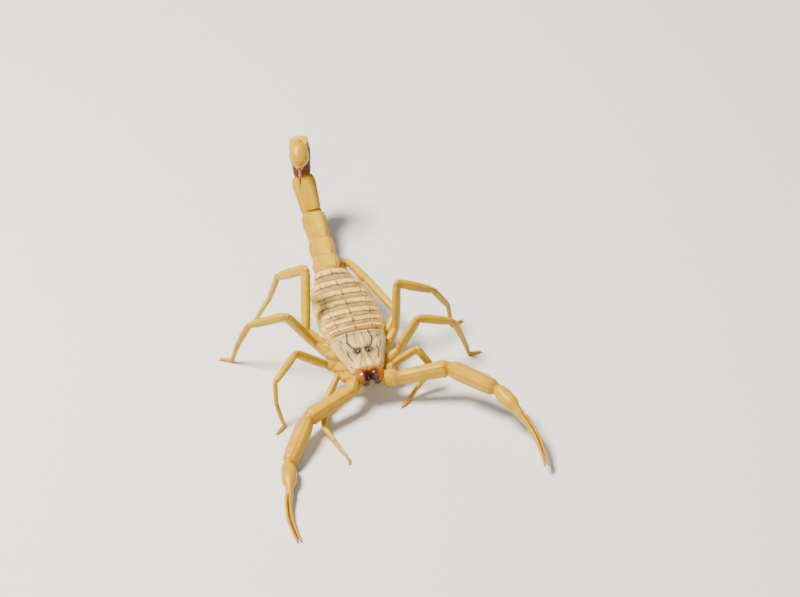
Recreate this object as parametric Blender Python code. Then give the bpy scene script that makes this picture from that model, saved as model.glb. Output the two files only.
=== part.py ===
"""Desert scorpion, life size, as a still model that stands on its eight feet.

World axes, in metres: the head points to -Y, the tail rises at +Y, +Z is up and the animal's own
right side is at -X. Every jointed limb is a chain of lengths, headings and pitches, and every piece
is a loft of oval sections that is mitred where two pieces meet. The origin is the middle of the
bounding box, at the level of the soles.
"""

import math

import bmesh
import bpy
from mathutils import Matrix, Vector

MM = 0.001
JOINT_GAP = 0.3 * MM
EYE_GAP = 0.12 * MM

# Trunk. Heights are above the floor, and lengths run back from the front edge of the carapace.
BELLY_HEIGHT = 3.5 * MM
CARAPACE_FLOOR = 6.0 * MM
CARAPACE_LENGTH = 10.0 * MM
CARAPACE_STATIONS = (
    # share of length, half width, edge height, top height, in millimetres after the first
    (0.00, 2.9, 7.0, 7.9),
    (0.05, 3.4, 7.0, 8.4),
    (0.20, 3.9, 7.1, 8.9),
    (0.32, 4.3, 7.2, 9.5),
    (0.42, 4.6, 7.3, 9.7),
    (0.52, 4.9, 7.3, 9.4),
    (0.75, 5.5, 7.5, 9.8),
    (0.95, 5.9, 7.6, 10.1),
    (1.00, 5.8, 7.6, 9.9),
)
EYE_RADIUS = 0.48 * MM
EYE_SPACING = 2.0 * MM
EYE_BACK = 3.9 * MM
EYE_HEIGHT = 9.35 * MM
CHELICERA_SPACING = 2.95 * MM
CHELICERA_LENGTH = 4.1 * MM
CHELICERA_HEIGHT = 7.0 * MM
PLATE_STATIONS = (
    # distance back, half width, lowest point, in millimetres
    (-1.4, 2.2, 4.3),
    (0.4, 2.8, 3.8),
    (2.0, 4.3, 3.5),
    (5.0, 5.3, 3.3),
    (10.0, 5.9, 3.3),
    (13.0, 6.1, 3.6),
    (13.8, 5.6, 3.9),
)
PLATE_TOP = 5.6 * MM

ABDOMEN_LENGTHS = (1.9, 2.4, 2.9, 3.3, 3.8, 4.0, 5.0)
ABDOMEN_HALF_WIDTHS = (5.95, 6.45, 6.75, 6.85, 6.8, 6.5, 5.7, 3.4)
ABDOMEN_TOPS = (9.9, 10.1, 10.3, 10.5, 10.5, 10.3, 9.9, 9.2)
ABDOMEN_BOTTOMS = (6.0, 5.9, 5.9, 4.2, 3.6, 3.5, 3.7, 5.4)
ABDOMEN_EDGE = 7.6 * MM
ABDOMEN_STEP = 0.25 * MM
ABDOMEN_SWAY = -0.9 * MM

# Tail. Yaw is measured from straight back towards +X, and pitch upwards.
TAIL_ROOT = Vector((-0.9, 33.5, 7.5)) * MM
TAIL_LENGTHS = (7.3, 8.0, 8.5, 9.5, 10.4)
TAIL_YAWS = (4, 4, 0, -4, -2)
TAIL_PITCHES = (-15, -6, 12, 44, 92)
TAIL_HALF_WIDTHS = (2.95, 2.7, 2.6, 2.5, 2.1)
TAIL_HALF_HEIGHTS = (2.5, 2.35, 2.25, 2.15, 1.9)
TAIL_SHAPE = (
    # share of length, share of width, share of height
    (0.00, 0.70, 0.74),
    (0.07, 0.88, 0.90),
    (0.35, 0.95, 0.96),
    (0.72, 1.00, 1.00),
    (0.93, 0.97, 0.98),
    (1.00, 0.84, 0.86),
)
BULB_HEADING = -102
BULB_PITCH = -36
BULB_LENGTH = 5.9 * MM
BULB_FORWARD = 2.0 * MM
BULB_RISE = 0.95 * MM
STING_LENGTH = 5.4 * MM
STING_BEND = 58

# Pincer arms and legs. Heading is measured from straight outwards, positive towards the tail.
PALP_ROOT = Vector((3.35, -1.6, 5.9)) * MM
PALP_LENGTHS = (3.0, 11.0, 11.9, 6.8, 14.3)
PALP_POSES = {
    "right": ((-57, -23, -57, -80, -85), (-2, -6, -12, -4, -5)),
    "left": ((-30, -15, -48, -66, -80), (5, 13, -3, -11, -17)),
}
PALP_SIZE = (1.5 * MM, 1.5 * MM)
FINGER_BOW = 1.0 * MM
FINGER_SPLIT = 0.45 * MM
FINGER_SPLIT_TIP = 0.36 * MM

LEG_LENGTHS = (
    (7.8, 6.6, 4.3, 4.2, 2.3),
    (9.3, 8.5, 5.8, 5.1, 2.5),
    (10.8, 9.8, 6.6, 5.8, 2.6),
    (13.3, 10.5, 7.8, 7.2, 3.0),
)
LEG_COXA_ENDS = ((4.9, 1.7, 5.1), (5.9, 5.0, 5.2), (6.5, 9.7, 5.4), (6.9, 12.6, 5.7))
LEG_HIPS = ((6.1, 2.2, 5.7), (8.0, 5.6, 6.3), (8.9, 12.1, 6.8), (10.1, 15.4, 8.5))
LEG_HALF_DEPTHS = (0.92, 1.0, 1.05, 1.1)
LEG_HALF_WIDTHS = (0.72, 0.78, 0.82, 0.86)
ANKLE_HEIGHT = 0.50 * MM
TOE_HEIGHT = 0.19 * MM
LEG_POSES = {
    # headings of femur, patella, tibia, basitarsus and tarsus, then pitches of the first three
    "right_1": ((-50, -79, -109, -111, -95), (-24, -3, -8)),
    "right_2": ((-17, -46, -50, -120, -43), (43, -11, -86)),
    "right_3": ((2, 30, 34, 39, 33), (59, -26, -62)),
    "right_4": ((109, 51, 50, 8, -30), (59, -35, -68)),
    "left_1": ((-32, -24, -176, -148, -140), (45, -60, -42)),
    "left_2": ((-5, 4, 14, 13, 4), (60, -24, -70)),
    "left_3": ((60, 9, 16, 19, 20), (74, -32, -60)),
    "left_4": ((107, 102, 105, 110, 105), (2, -12, -52)),
}
# Shapes of limb pieces: rows of share of length, share of half width, share of half depth.
HIP_SHAPE = ((0.0, 1.15, 0.95), (0.5, 1.12, 1.0))
FEMUR_SHAPE = (
    (0.00, 0.80, 0.78),
    (0.12, 0.90, 0.92),
    (0.50, 0.98, 1.02),
    (0.88, 1.00, 0.98),
    (1.00, 0.82, 0.80),
)
PATELLA_SHAPE = (
    (0.00, 0.78, 0.78),
    (0.14, 0.98, 0.98),
    (0.50, 0.98, 1.00),
    (0.85, 0.84, 0.84),
    (1.00, 0.66, 0.62),
)
TIBIA_SHAPE = ((0.0, 0.58, 0.56), (0.2, 0.66, 0.64), (0.75, 0.64, 0.60), (1.0, 0.56, 0.52))
BASITARSUS_SHAPE = ((0.0, 0.50, 0.46), (0.5, 0.50, 0.44), (0.9, 0.50, 0.42))
TARSUS_SHAPE = ((0.0, 0.48, 0.42), (0.5, 0.47, 0.44), (0.85, 0.42, 0.40), (1.0, 0.32, 0.30))

PALP_SHOULDER_SHAPE = ((0.0, 0.78, 0.80), (0.35, 1.0, 1.05), (0.7, 1.0, 1.0))
PALP_FEMUR_SHAPE = (
    (0.00, 0.80, 0.80),
    (0.10, 0.92, 0.95),
    (0.50, 0.95, 1.05),
    (0.86, 1.05, 1.08),
    (1.00, 0.85, 0.85),
)
PALP_PATELLA_SHAPE = (
    (0.00, 0.78, 0.80),
    (0.12, 1.08, 1.08),
    (0.35, 1.24, 1.15),
    (0.70, 1.18, 1.15),
    (0.92, 0.90, 0.92),
    (1.00, 0.72, 0.74),
)
HAND_SHAPE = ((0.0, 0.62, 0.66), (0.12, 0.86, 0.92), (0.4, 1.10, 1.14), (0.7, 1.06, 1.10))
# Fingers: share of length, then half width and half height in millimetres.
FIXED_FINGER = (
    (0.02, 0.80, 0.98),
    (0.10, 0.38, 0.74),
    (0.30, 0.33, 0.60),
    (0.60, 0.31, 0.49),
    (0.85, 0.27, 0.39),
    (1.00, 0.25, 0.27),
)
MOVING_FINGER = (
    (0.13, 0.28, 0.42),
    (0.18, 0.33, 0.60),
    (0.30, 0.32, 0.58),
    (0.60, 0.30, 0.49),
    (0.85, 0.27, 0.39),
    (1.00, 0.25, 0.27),
)
SPLIT_STARTS = 0.05

FINISHES = {
    # base colour and roughness
    "straw": ((0.78, 0.58, 0.25, 1.0), 0.38),
    "tan": ((0.62, 0.47, 0.30, 1.0), 0.45),
    "amber": ((0.70, 0.33, 0.09, 1.0), 0.35),
    "umber": ((0.20, 0.09, 0.04, 1.0), 0.35),
    "jet": ((0.02, 0.015, 0.012, 1.0), 0.12),
}


def clear_scene():
    for item in list(bpy.data.objects):
        bpy.data.objects.remove(item, do_unlink=True)


def collection(name):
    made = bpy.data.collections.new(name)
    bpy.context.scene.collection.children.link(made)
    return made


def finish(name):
    """The named material, made on first use."""
    made = bpy.data.materials.get(name)
    if made is None:
        colour, roughness = FINISHES[name]
        made = bpy.data.materials.new(name)
        made.use_nodes = True
        shader = made.node_tree.nodes["Principled BSDF"]
        shader.inputs["Base Color"].default_value = colour
        shader.inputs["Roughness"].default_value = roughness
        shader.inputs["Metallic"].default_value = 0.0
        made.diffuse_color = colour
    return made


def direction(side, heading, pitch):
    """A unit vector from a heading off straight outwards and a pitch, in degrees."""
    out = math.cos(math.radians(heading)) * math.cos(math.radians(pitch))
    back = math.sin(math.radians(heading)) * math.cos(math.radians(pitch))
    return Vector((side * out, back, math.sin(math.radians(pitch))))


def signed_power(value, power):
    return math.copysign(abs(value) ** power, value)


def oval(centre, side, up, half_width, half_height, count, power):
    """Points of a superellipse, half a step off its axes so that flats face each way."""
    points = []
    for step in range(count):
        angle = (step + 0.5) * 2 * math.pi / count
        across = half_width * signed_power(math.cos(angle), 2 / power)
        above = half_height * signed_power(math.sin(angle), 2 / power)
        points.append(centre + side * across + up * above)
    return points


def slide_to_plane(points, centre, along, normal):
    """Each point moved along the piece until it lies in the plane through the centre."""
    lead = along.dot(normal)
    return [point - along * ((point - centre).dot(normal) / lead) for point in points]


def loft(name, rings, finish_name, home):
    """One closed body through rings of equal count, flat at both ends."""
    body = bmesh.new()
    rows = [[body.verts.new(point) for point in ring] for ring in rings]
    count = len(rows[0])
    for near, far in zip(rows, rows[1:]):
        for step in range(count):
            after = (step + 1) % count
            body.faces.new((near[step], near[after], far[after], far[step]))
    body.faces.new(rows[0])
    body.faces.new(rows[-1])
    bmesh.ops.recalc_face_normals(body, faces=body.faces)
    if body.calc_volume(signed=True) < 0:
        bmesh.ops.reverse_faces(body, faces=body.faces)
    mesh = bpy.data.meshes.new(name)
    body.to_mesh(mesh)
    body.free()
    mesh.materials.append(finish(finish_name))
    made = bpy.data.objects.new(name, mesh)
    home.objects.link(made)
    mesh.shade_smooth()
    mesh.set_sharp_from_angle(angle=math.radians(35))
    return made


def chain(start, steps):
    """The joints of a limb: a start and one point after each (unit direction, length)."""
    joints = [start]
    for unit, length in steps:
        joints.append(joints[-1] + unit * length)
    return joints


def halving_planes(joints, first_normal):
    """One mitre plane normal for each joint, halving the bend there."""
    units = [(after - before).normalized() for before, after in zip(joints, joints[1:])]
    inner = [(before + after).normalized() for before, after in zip(units, units[1:])]
    return units, [first_normal] + inner + [units[-1]]


def side_vectors(units, first_side):
    """The sideways vector of each straight piece, carried over the bends without a twist."""
    sides = [first_side]
    for before, after in zip(units, units[1:]):
        sides.append(before.rotation_difference(after) @ sides[-1])
    return sides


def straight_rings(limb, index, shape, size, count, power, open_ends=(True, True)):
    """Rings of one straight piece of a limb, leaning into the mitre plane at either end.

    limb is (joints, units, plane normals, side vectors), shape rows are (share of length, share of
    half width, share of half depth), and an open end stops half a gap before its joint.
    """
    joints, units, normals, sides = limb
    along, side = units[index], sides[index]
    up = side.cross(along)
    length = (joints[index + 1] - joints[index]).length
    trims = [0.5 * JOINT_GAP / along.dot(normals[index + end]) * open_ends[end] for end in (0, 1)]
    reach = 2.2 * size[1]
    rings = []
    for share, width, depth in shape:
        run = trims[0] + share * (length - trims[0] - trims[1])
        centre = joints[index] + along * run
        from_start = max(0.0, 1 - (run - trims[0]) / reach)
        from_end = max(0.0, 1 - (length - trims[1] - run) / reach)
        lean = (normals[index] - along) * from_start + (normals[index + 1] - along) * from_end
        points = oval(centre, side, up, width * size[0], depth * size[1], count, power)
        rings.append(slide_to_plane(points, centre, along, (along + lean).normalized()))
    return rings


def body_ring(back, sway, half_width, edge, top, bottom, count, power):
    """A trunk section: an arch over the edge height and a shallower one under it."""
    points = []
    for step in range(count):
        angle = (step + 0.5) * 2 * math.pi / count
        across = half_width * signed_power(math.cos(angle), 2 / power)
        rise = signed_power(math.sin(angle), 2 / power)
        height = edge + rise * ((top - edge) if rise > 0 else (edge - bottom))
        points.append(Vector((sway + across, back, height)))
    return points


def build_carapace(home, cutters):
    rings = []
    for share, half_width, edge, top in CARAPACE_STATIONS:
        back = share * CARAPACE_LENGTH
        rings.append(body_ring(back, 0.0, half_width * MM, edge * MM, top * MM, CARAPACE_FLOOR, 20, 2.5))
    carapace = loft("carapace", rings, "tan", home)
    for label, side in (("right", -1), ("left", 1)):
        place = Vector((side * EYE_SPACING / 2, EYE_BACK, EYE_HEIGHT))
        ball = sphere("eye_" + label, place, EYE_RADIUS, 12, 8)
        home.objects.link(ball)
        ball.data.materials.append(finish("jet"))
        socket = sphere("eye_socket_" + label, place, EYE_RADIUS + EYE_GAP, 12, 8)
        cutters.objects.link(socket)
        socket.hide_render = True
        socket.display_type = "WIRE"
        cut = carapace.modifiers.new("socket " + label, "BOOLEAN")
        cut.operation = "DIFFERENCE"
        cut.solver = "EXACT"
        cut.object = socket


def sphere(name, centre, radius, around, rows):
    ball = bmesh.new()
    place = Matrix.Translation(centre)
    bmesh.ops.create_uvsphere(ball, u_segments=around, v_segments=rows, radius=radius, matrix=place)
    mesh = bpy.data.meshes.new(name)
    ball.to_mesh(mesh)
    ball.free()
    mesh.shade_smooth()
    return bpy.data.objects.new(name, mesh)


def build_chelicerae(home):
    """Two stout jaws side by side, drooping to a blunt claw in front."""
    shape = (
        # share of length, half width, half height, droop, in millimetres after the first
        (0.00, 1.20, 0.85, 0.0),
        (0.15, 1.32, 1.15, 0.0),
        (0.55, 1.30, 1.30, 0.1),
        (0.82, 0.95, 0.95, 0.6),
        (1.00, 0.45, 0.45, 1.1),
    )
    for label, side in (("right", -1), ("left", 1)):
        rings = []
        for share, half_width, half_height, droop in shape:
            back = -JOINT_GAP - share * CHELICERA_LENGTH
            centre = Vector((side * CHELICERA_SPACING / 2, back, CHELICERA_HEIGHT - droop * MM))
            rings.append(
                oval(centre, Vector((1, 0, 0)), Vector((0, 0, 1)), half_width * MM, half_height * MM, 10, 2.4)
            )
        loft("chelicera_" + label, rings, "amber", home)


def build_plate(home):
    """The leg bases and breast plate under the head shield, as one plate."""
    rings = []
    middle = 0.5 * (PLATE_TOP + BELLY_HEIGHT)
    for back, half_width, lowest in PLATE_STATIONS:
        rings.append(body_ring(back * MM, 0.0, half_width * MM, middle, PLATE_TOP, lowest * MM, 14, 3.2))
    loft("coxal_plate", rings, "straw", home)


def build_abdomen(home):
    """Seven body rings, each a little wider at its rear edge than the next one's front."""
    total = sum(ABDOMEN_LENGTHS)
    run = 0.0
    for index, length in enumerate(ABDOMEN_LENGTHS):
        rings = []
        for share in (0.0, 0.45, 1.0):
            here = run + share * length
            back = CARAPACE_LENGTH + here * MM + JOINT_GAP * (1 - share)
            sizes = (ABDOMEN_HALF_WIDTHS, ABDOMEN_TOPS, ABDOMEN_BOTTOMS)
            half_width, top, bottom = [
                (row[index] + share * (row[index + 1] - row[index])) * MM for row in sizes
            ]
            step = ABDOMEN_STEP * (0.5 - share)
            sway = ABDOMEN_SWAY * (here / total) ** 2
            rings.append(
                body_ring(back, sway, half_width - step, ABDOMEN_EDGE, top - step, bottom, 20, 2.4)
            )
        loft(f"abdomen_{index + 1}", rings, "tan", home)
        run += length


def build_tail(home):
    """Five keeled joints, then the bulb and its curved sting, bent forwards at the top."""
    steps = []
    for yaw, pitch, length in zip(TAIL_YAWS, TAIL_PITCHES, TAIL_LENGTHS):
        steps.append((direction(1, 90 - yaw, pitch), length * MM))
    joints = chain(TAIL_ROOT, steps)
    units, normals = halving_planes(joints, Vector((0, 1, 0)))
    limb = (joints, units, normals, side_vectors(units, units[0].cross(Vector((0, 0, 1))).normalized()))
    for index in range(len(TAIL_LENGTHS)):
        size = (TAIL_HALF_WIDTHS[index] * MM, TAIL_HALF_HEIGHTS[index] * MM)
        rings = straight_rings(limb, index, TAIL_SHAPE, size, 12, 2.7)
        loft(f"tail_{index + 1}", rings, "umber" if index == 4 else "straw", home)

    bulb_shape = (
        # share of length, half width, half height, in millimetres after the first
        (0.00, 0.95, 0.80),
        (0.10, 1.40, 1.20),
        (0.35, 2.00, 1.85),
        (0.60, 1.95, 1.80),
        (0.82, 1.35, 1.25),
        (1.00, 0.70, 0.70),
    )
    forward = direction(1, BULB_HEADING, BULB_PITCH)
    root = joints[-1] + direction(1, BULB_HEADING, 0) * BULB_FORWARD
    root.z += BULB_RISE
    side = direction(1, BULB_HEADING + 90, 0)
    up = side.cross(forward)
    rings = []
    for share, half_width, half_height in bulb_shape:
        centre = root + forward * (share * BULB_LENGTH)
        rings.append(oval(centre, side, up, half_width * MM, half_height * MM, 12, 2.0))
    loft("telson_bulb", rings, "straw", home)

    rings = []
    count = 6
    centre = root + forward * (BULB_LENGTH + JOINT_GAP)
    for row in range(count + 1):
        share = row / count
        bend = BULB_PITCH + STING_BEND * share**1.3
        along = direction(1, BULB_HEADING, bend)
        radius = (0.62 - 0.36 * share) * MM
        rings.append(oval(centre, side, side.cross(along), radius, radius, 8, 2.0))
        centre = centre + along * (STING_LENGTH / count)
    loft("telson_sting", rings, "umber", home)


def build_palp(label, side, home):
    """A pincer arm: upper arm, forearm, hand with its fixed finger, and the moving finger."""
    root = Vector((side * PALP_ROOT.x, PALP_ROOT.y, PALP_ROOT.z))
    headings, pitches = PALP_POSES[label]
    steps = [
        (direction(side, heading, pitch), length * MM)
        for heading, pitch, length in zip(headings, pitches, PALP_LENGTHS)
    ]
    joints = chain(root, steps)
    units, normals = halving_planes(joints, Vector((side, 0, 0)))
    limb = (joints, units, normals, side_vectors(units, units[0].cross(Vector((0, 0, 1))).normalized()))
    rings = straight_rings(limb, 0, PALP_SHOULDER_SHAPE, PALP_SIZE, 10, 2.5, (False, False))
    rings += straight_rings(limb, 1, PALP_FEMUR_SHAPE, PALP_SIZE, 10, 2.5, (False, True))
    loft(f"pincer_{label}_femur", rings, "straw", home)
    rings = straight_rings(limb, 2, PALP_PATELLA_SHAPE, PALP_SIZE, 10, 2.5)
    loft(f"pincer_{label}_patella", rings, "straw", home)
    build_chela(label, side, limb, home)


def build_chela(label, side, limb, home):
    """The hand, a slim bulb that runs out into a fixed finger, and the outer finger beside it."""
    joints, units, normals, sides = limb
    wrist, knuckle, tip = joints[3:6]
    along, across = units[4], sides[4]
    outward = across if across.x * side > 0 else -across
    up = across.cross(along)
    length = (tip - knuckle).length

    def finger_rings(shape, side_of_split):
        rings = []
        for share, half_width, half_height in shape:
            bow = FINGER_BOW * math.sin(math.pi * share)
            split = FINGER_SPLIT + share * (FINGER_SPLIT_TIP - FINGER_SPLIT)
            shift = bow + side_of_split * split * (share > SPLIT_STARTS)
            centre = knuckle + along * (share * length) + outward * shift
            rings.append(oval(centre, across, up, half_width * MM, half_height * MM, 10, 2.2))
        return rings

    rings = straight_rings(limb, 3, HAND_SHAPE, PALP_SIZE, 10, 2.2, (True, False))
    loft(f"pincer_{label}_hand", rings + finger_rings(FIXED_FINGER, -1), "straw", home)
    loft(f"pincer_{label}_finger", finger_rings(MOVING_FINGER, 1), "straw", home)


def build_leg(label, number, side, home):
    """A walking leg: hip and femur, patella, tibia, and a foot that ends flat on the floor."""
    headings, pitches = LEG_POSES[f"{label}_{number}"]
    lengths = [length * MM for length in LEG_LENGTHS[number - 1]]
    coxa_end, hip = [
        Vector((side * place[0], place[1], place[2])) * MM
        for place in (LEG_COXA_ENDS[number - 1], LEG_HIPS[number - 1])
    ]
    joints = [coxa_end, hip]
    for heading, pitch, length in zip(headings, pitches, lengths):
        joints.append(joints[-1] + direction(side, heading, pitch) * length)
    for floor_height, heading, length in zip((ANKLE_HEIGHT, TOE_HEIGHT), headings[3:], lengths[3:]):
        drop = math.degrees(math.asin((joints[-1].z - floor_height) / length))
        joints.append(joints[-1] + direction(side, heading, -drop) * length)
    units, normals = halving_planes(joints, Vector((side, 0, 0)))
    limb = (joints, units, normals, side_vectors(units, units[0].cross(Vector((0, 0, 1))).normalized()))
    size = (LEG_HALF_WIDTHS[number - 1] * MM, LEG_HALF_DEPTHS[number - 1] * MM)
    stem = f"leg_{label}_{number}_"

    rings = straight_rings(limb, 0, HIP_SHAPE, size, 8, 2.2, (False, False))
    rings += straight_rings(limb, 1, FEMUR_SHAPE, size, 8, 2.2, (False, True))
    loft(stem + "femur", rings, "straw", home)
    loft(stem + "patella", straight_rings(limb, 2, PATELLA_SHAPE, size, 8, 2.2), "straw", home)
    loft(stem + "tibia", straight_rings(limb, 3, TIBIA_SHAPE, size, 8, 2.2), "straw", home)
    rings = straight_rings(limb, 4, BASITARSUS_SHAPE, size, 8, 2.2, (True, False))
    rings += straight_rings(limb, 5, TARSUS_SHAPE, size, 8, 2.2, (False, False))
    for ring in rings:
        for point in ring:
            point.z = max(point.z, 0.0)
    loft(stem + "foot", rings, "straw", home)


def centre_on_origin(home):
    """Moves every mesh so that the box's middle stands over the origin, on the floor."""
    bpy.context.view_layer.update()
    corners = [vertex.co for item in home.objects for vertex in item.data.vertices]
    middle = [0.5 * (min(c[axis] for c in corners) + max(c[axis] for c in corners)) for axis in (0, 1)]
    shift = Matrix.Translation(Vector((-middle[0], -middle[1], 0.0)))
    for item in bpy.data.objects:
        item.data.transform(shift)


def main():
    clear_scene()
    home = collection("desert_scorpion")
    cutters = collection("cutters")
    build_carapace(home, cutters)
    build_chelicerae(home)
    build_plate(home)
    build_abdomen(home)
    build_tail(home)
    for label, side in (("right", -1), ("left", 1)):
        build_palp(label, side, home)
        for number in (1, 2, 3, 4):
            build_leg(label, number, side, home)
    centre_on_origin(home)


main()
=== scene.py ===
# %% [markdown]
# # A desert scorpion for a museum case
# The plain solids of the model already stand in their pose. This lesson dresses them: every shell
# plate, joint skin, keel and bristle is a surface worked out with numpy from the solids' own places.

# %% Load the solids
import math

import bpy
import numpy as np
from mathutils import Matrix, Vector


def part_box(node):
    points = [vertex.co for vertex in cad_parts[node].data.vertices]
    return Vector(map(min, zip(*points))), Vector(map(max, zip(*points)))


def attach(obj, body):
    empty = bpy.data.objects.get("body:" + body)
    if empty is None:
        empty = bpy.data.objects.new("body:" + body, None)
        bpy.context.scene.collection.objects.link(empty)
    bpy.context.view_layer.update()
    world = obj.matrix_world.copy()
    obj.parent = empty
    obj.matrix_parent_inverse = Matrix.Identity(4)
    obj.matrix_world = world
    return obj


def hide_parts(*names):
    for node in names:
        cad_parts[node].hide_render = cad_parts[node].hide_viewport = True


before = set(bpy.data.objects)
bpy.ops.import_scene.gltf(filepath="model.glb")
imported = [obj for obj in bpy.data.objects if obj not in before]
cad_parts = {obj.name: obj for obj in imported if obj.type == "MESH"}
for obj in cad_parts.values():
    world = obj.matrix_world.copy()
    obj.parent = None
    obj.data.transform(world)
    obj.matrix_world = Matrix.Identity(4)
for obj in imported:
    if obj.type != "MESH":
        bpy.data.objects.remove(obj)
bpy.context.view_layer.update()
MM = 0.001
X_AXIS, Y_AXIS, Z_AXIS = np.eye(3)
SIDES = {"right": -1, "left": 1}
LEG_NUMBERS = (1, 2, 3, 4)


def mm(*lengths):
    """Lengths given in millimetres, as an array in metres."""
    return np.array(lengths) * MM


print("solids in the frame:", len(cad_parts))

# %% [markdown]
# ## Reading the solids
# Each solid is a stack of rings. Its two flat ends are the largest groups of triangles in one plane,
# and the rings follow each other along the edges. Their centres give every joint of the animal, so
# no place has to be typed in twice.

# %% Find the rings of a solid
DECIMALS = 7
SAME_WAY, SAME_PLANE = 0.9999, 3e-6


def unit(vector):
    """A vector, or each of a row of vectors, brought to length one."""
    return vector / np.linalg.norm(vector, axis=-1, keepdims=True)


def middle(ring):
    """The mean of a ring's points."""
    return ring.mean(0)


def corners_of(node):
    """Every corner of a solid's loose triangles, rounded so that equal corners are the same."""
    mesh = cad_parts[node].data
    corners = np.empty(len(mesh.vertices) * 3)
    mesh.vertices.foreach_get("co", corners)
    return np.round(corners.reshape(-1, 3), DECIMALS)


def rings_of(node, near):
    """The rings of points of a lofted solid, in order from the end that lies nearest to a point.

    The first ring is an end cap, and each next ring is every point joined to the last by an edge.
    """
    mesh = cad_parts[node].data
    faces = np.empty(len(mesh.polygons) * 3, dtype=int)
    mesh.polygons.foreach_get("vertices", faces)
    points, same = np.unique(corners_of(node), axis=0, return_inverse=True)
    faces = same.reshape(-1)[faces].reshape(-1, 3)
    a, b, c = (points[faces[:, k]] for k in range(3))
    normals = unit(np.cross(b - a, c - a))
    offsets = (normals * a).sum(1)
    flush = (normals @ normals.T > SAME_WAY) & (np.abs(offsets[:, None] - offsets) < SAME_PLANE)
    size = flush.sum(1)
    first = int(np.argmax(size))
    second = int(np.argmax(size * ~flush[first]))
    caps = [np.unique(faces[flush[k]]) for k in (first, second)]
    caps.sort(key=lambda cap: np.linalg.norm(points[cap].mean(0) - near))
    joined = np.zeros((len(points), len(points)), dtype=bool)
    for i, j in ((0, 1), (1, 2), (2, 0)):
        joined[faces[:, i], faces[:, j]] = joined[faces[:, j], faces[:, i]] = True
    ring = np.zeros(len(points), dtype=bool)
    ring[caps[0]] = True
    seen = ring.copy()
    rings = []
    while ring.any():
        rings.append(points[ring])
        ring = joined[ring].any(0) & ~seen
        seen |= ring
    return rings


def node_box(node):
    """The low and the high corner of a solid's box."""
    return [np.array(corner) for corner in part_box(node)]


shield_low, shield_high = node_box("carapace")
body_middle = 0.5 * (shield_low + shield_high)
print("middle of the head shield, mm:", np.round(body_middle / MM, 2))

# %% [markdown]
# ## Limbs as chains
# A leg is hip, knee, two lower bends, ankle and toe. Halfway between the last ring of one solid and
# the first ring of the next lies the joint. Where one solid holds two pieces, as a femur with its hip,
# the joint is one of its own rings, counted from the body.

# %% Collect the joints of every limb
LEG_PARTS = ("femur", "patella", "tibia", "foot")
PALP_PARTS = ("femur", "patella", "hand")
HIP_RING, ANKLE_RING, KNUCKLE_RING, SHOULDER_RING = 2, 3, 4, 3
TAIL_NODES = [f"tail_{k}" for k in range(1, 6)]


def stacks_of(nodes):
    """The rings of each solid in a row that starts at the body, every one from its near end."""
    near, stacks = body_middle, []
    for node in nodes:
        stacks.append(rings_of(node, near))
        near = middle(stacks[-1][-1])
    return stacks


def chain_of(nodes, inner_rings):
    """The joints along a row of solids, and inside those that hold two pieces."""
    stacks = stacks_of(nodes)
    joints = [middle(stacks[0][0])]
    for index, (node, rings) in enumerate(zip(nodes, stacks)):
        if node in inner_rings:
            joints.append(middle(rings[inner_rings[node]]))
        last = middle(rings[-1])
        if index + 1 < len(stacks):
            last = 0.5 * (last + middle(stacks[index + 1][0]))
        joints.append(last)
    return np.array(joints)


legs, palps = {}, {}
for label in SIDES:
    for number in LEG_NUMBERS:
        nodes = [f"leg_{label}_{number}_{part}" for part in LEG_PARTS]
        legs[label, number] = chain_of(nodes, {nodes[0]: HIP_RING, nodes[3]: ANKLE_RING})
    nodes = [f"pincer_{label}_{part}" for part in PALP_PARTS]
    palps[label] = chain_of(nodes, {nodes[0]: SHOULDER_RING, nodes[2]: KNUCKLE_RING})
tail = chain_of(TAIL_NODES, {})
bulb_rings = rings_of("telson_bulb", tail[-1])
sting_rings = rings_of("telson_sting", middle(bulb_rings[-1]))
print("leg joints:", {key: len(value) for key, value in legs.items()})
print("tail joints, mm:", np.round(tail / MM, 1).tolist())

# %% [markdown]
# ## Camera and light
# The animal is seen from in front and above, a little from its own right, with a long lens that
# hardly makes the near pincer larger than the far tail.

# %% Place the camera
VIEW_AZIMUTH, VIEW_ELEVATION, VIEW_ROLL = (math.radians(a) for a in (-10.79, 39.21, -4.33))
VIEW_DISTANCE = 590 * MM
LENS, SENSOR, NEAREST = 124.9, 36.0, 10 * MM
# What the lens points at, measured from the middle of the shield's front edge, across the view.
AIM_RIGHT, AIM_UP = 7.9 * MM, 17.9 * MM


def stand(name, data):
    """A new object for some data, linked to the scene."""
    thing = bpy.data.objects.new(name, data)
    bpy.context.scene.collection.objects.link(thing)
    return thing


def place_camera():
    """Stands at aim + back * distance, with its side and up axes turned about the view by the roll."""
    data = bpy.data.cameras.new("portrait_camera")
    data.lens, data.sensor_width, data.clip_start = LENS, SENSOR, NEAREST
    camera = stand("portrait_camera", data)
    right = np.array([math.cos(VIEW_AZIMUTH), math.sin(VIEW_AZIMUTH), 0.0])
    back = np.cross(right, Z_AXIS) * math.cos(VIEW_ELEVATION) + Z_AXIS * math.sin(VIEW_ELEVATION)
    up = np.cross(back, right)
    brow = np.array([body_middle[0], shield_low[1], 0.5 * shield_low[2]])
    aim = brow + right * AIM_RIGHT + up * AIM_UP
    side = right * math.cos(VIEW_ROLL) + up * math.sin(VIEW_ROLL)
    axes = np.column_stack([side, np.cross(back, side), back, aim + back * VIEW_DISTANCE])
    camera.matrix_world = Matrix(np.vstack([axes, [0, 0, 0, 1]]))
    bpy.context.scene.camera = camera
    return aim


print("aim point, mm:", np.round(place_camera() / MM, 2))

# %% [markdown]
# One warm disc stands in for the sun, high on the side of the animal's right. A broad weak one in
# front fills the shadows, and a third behind draws a thin line of light along the tail.

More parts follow.
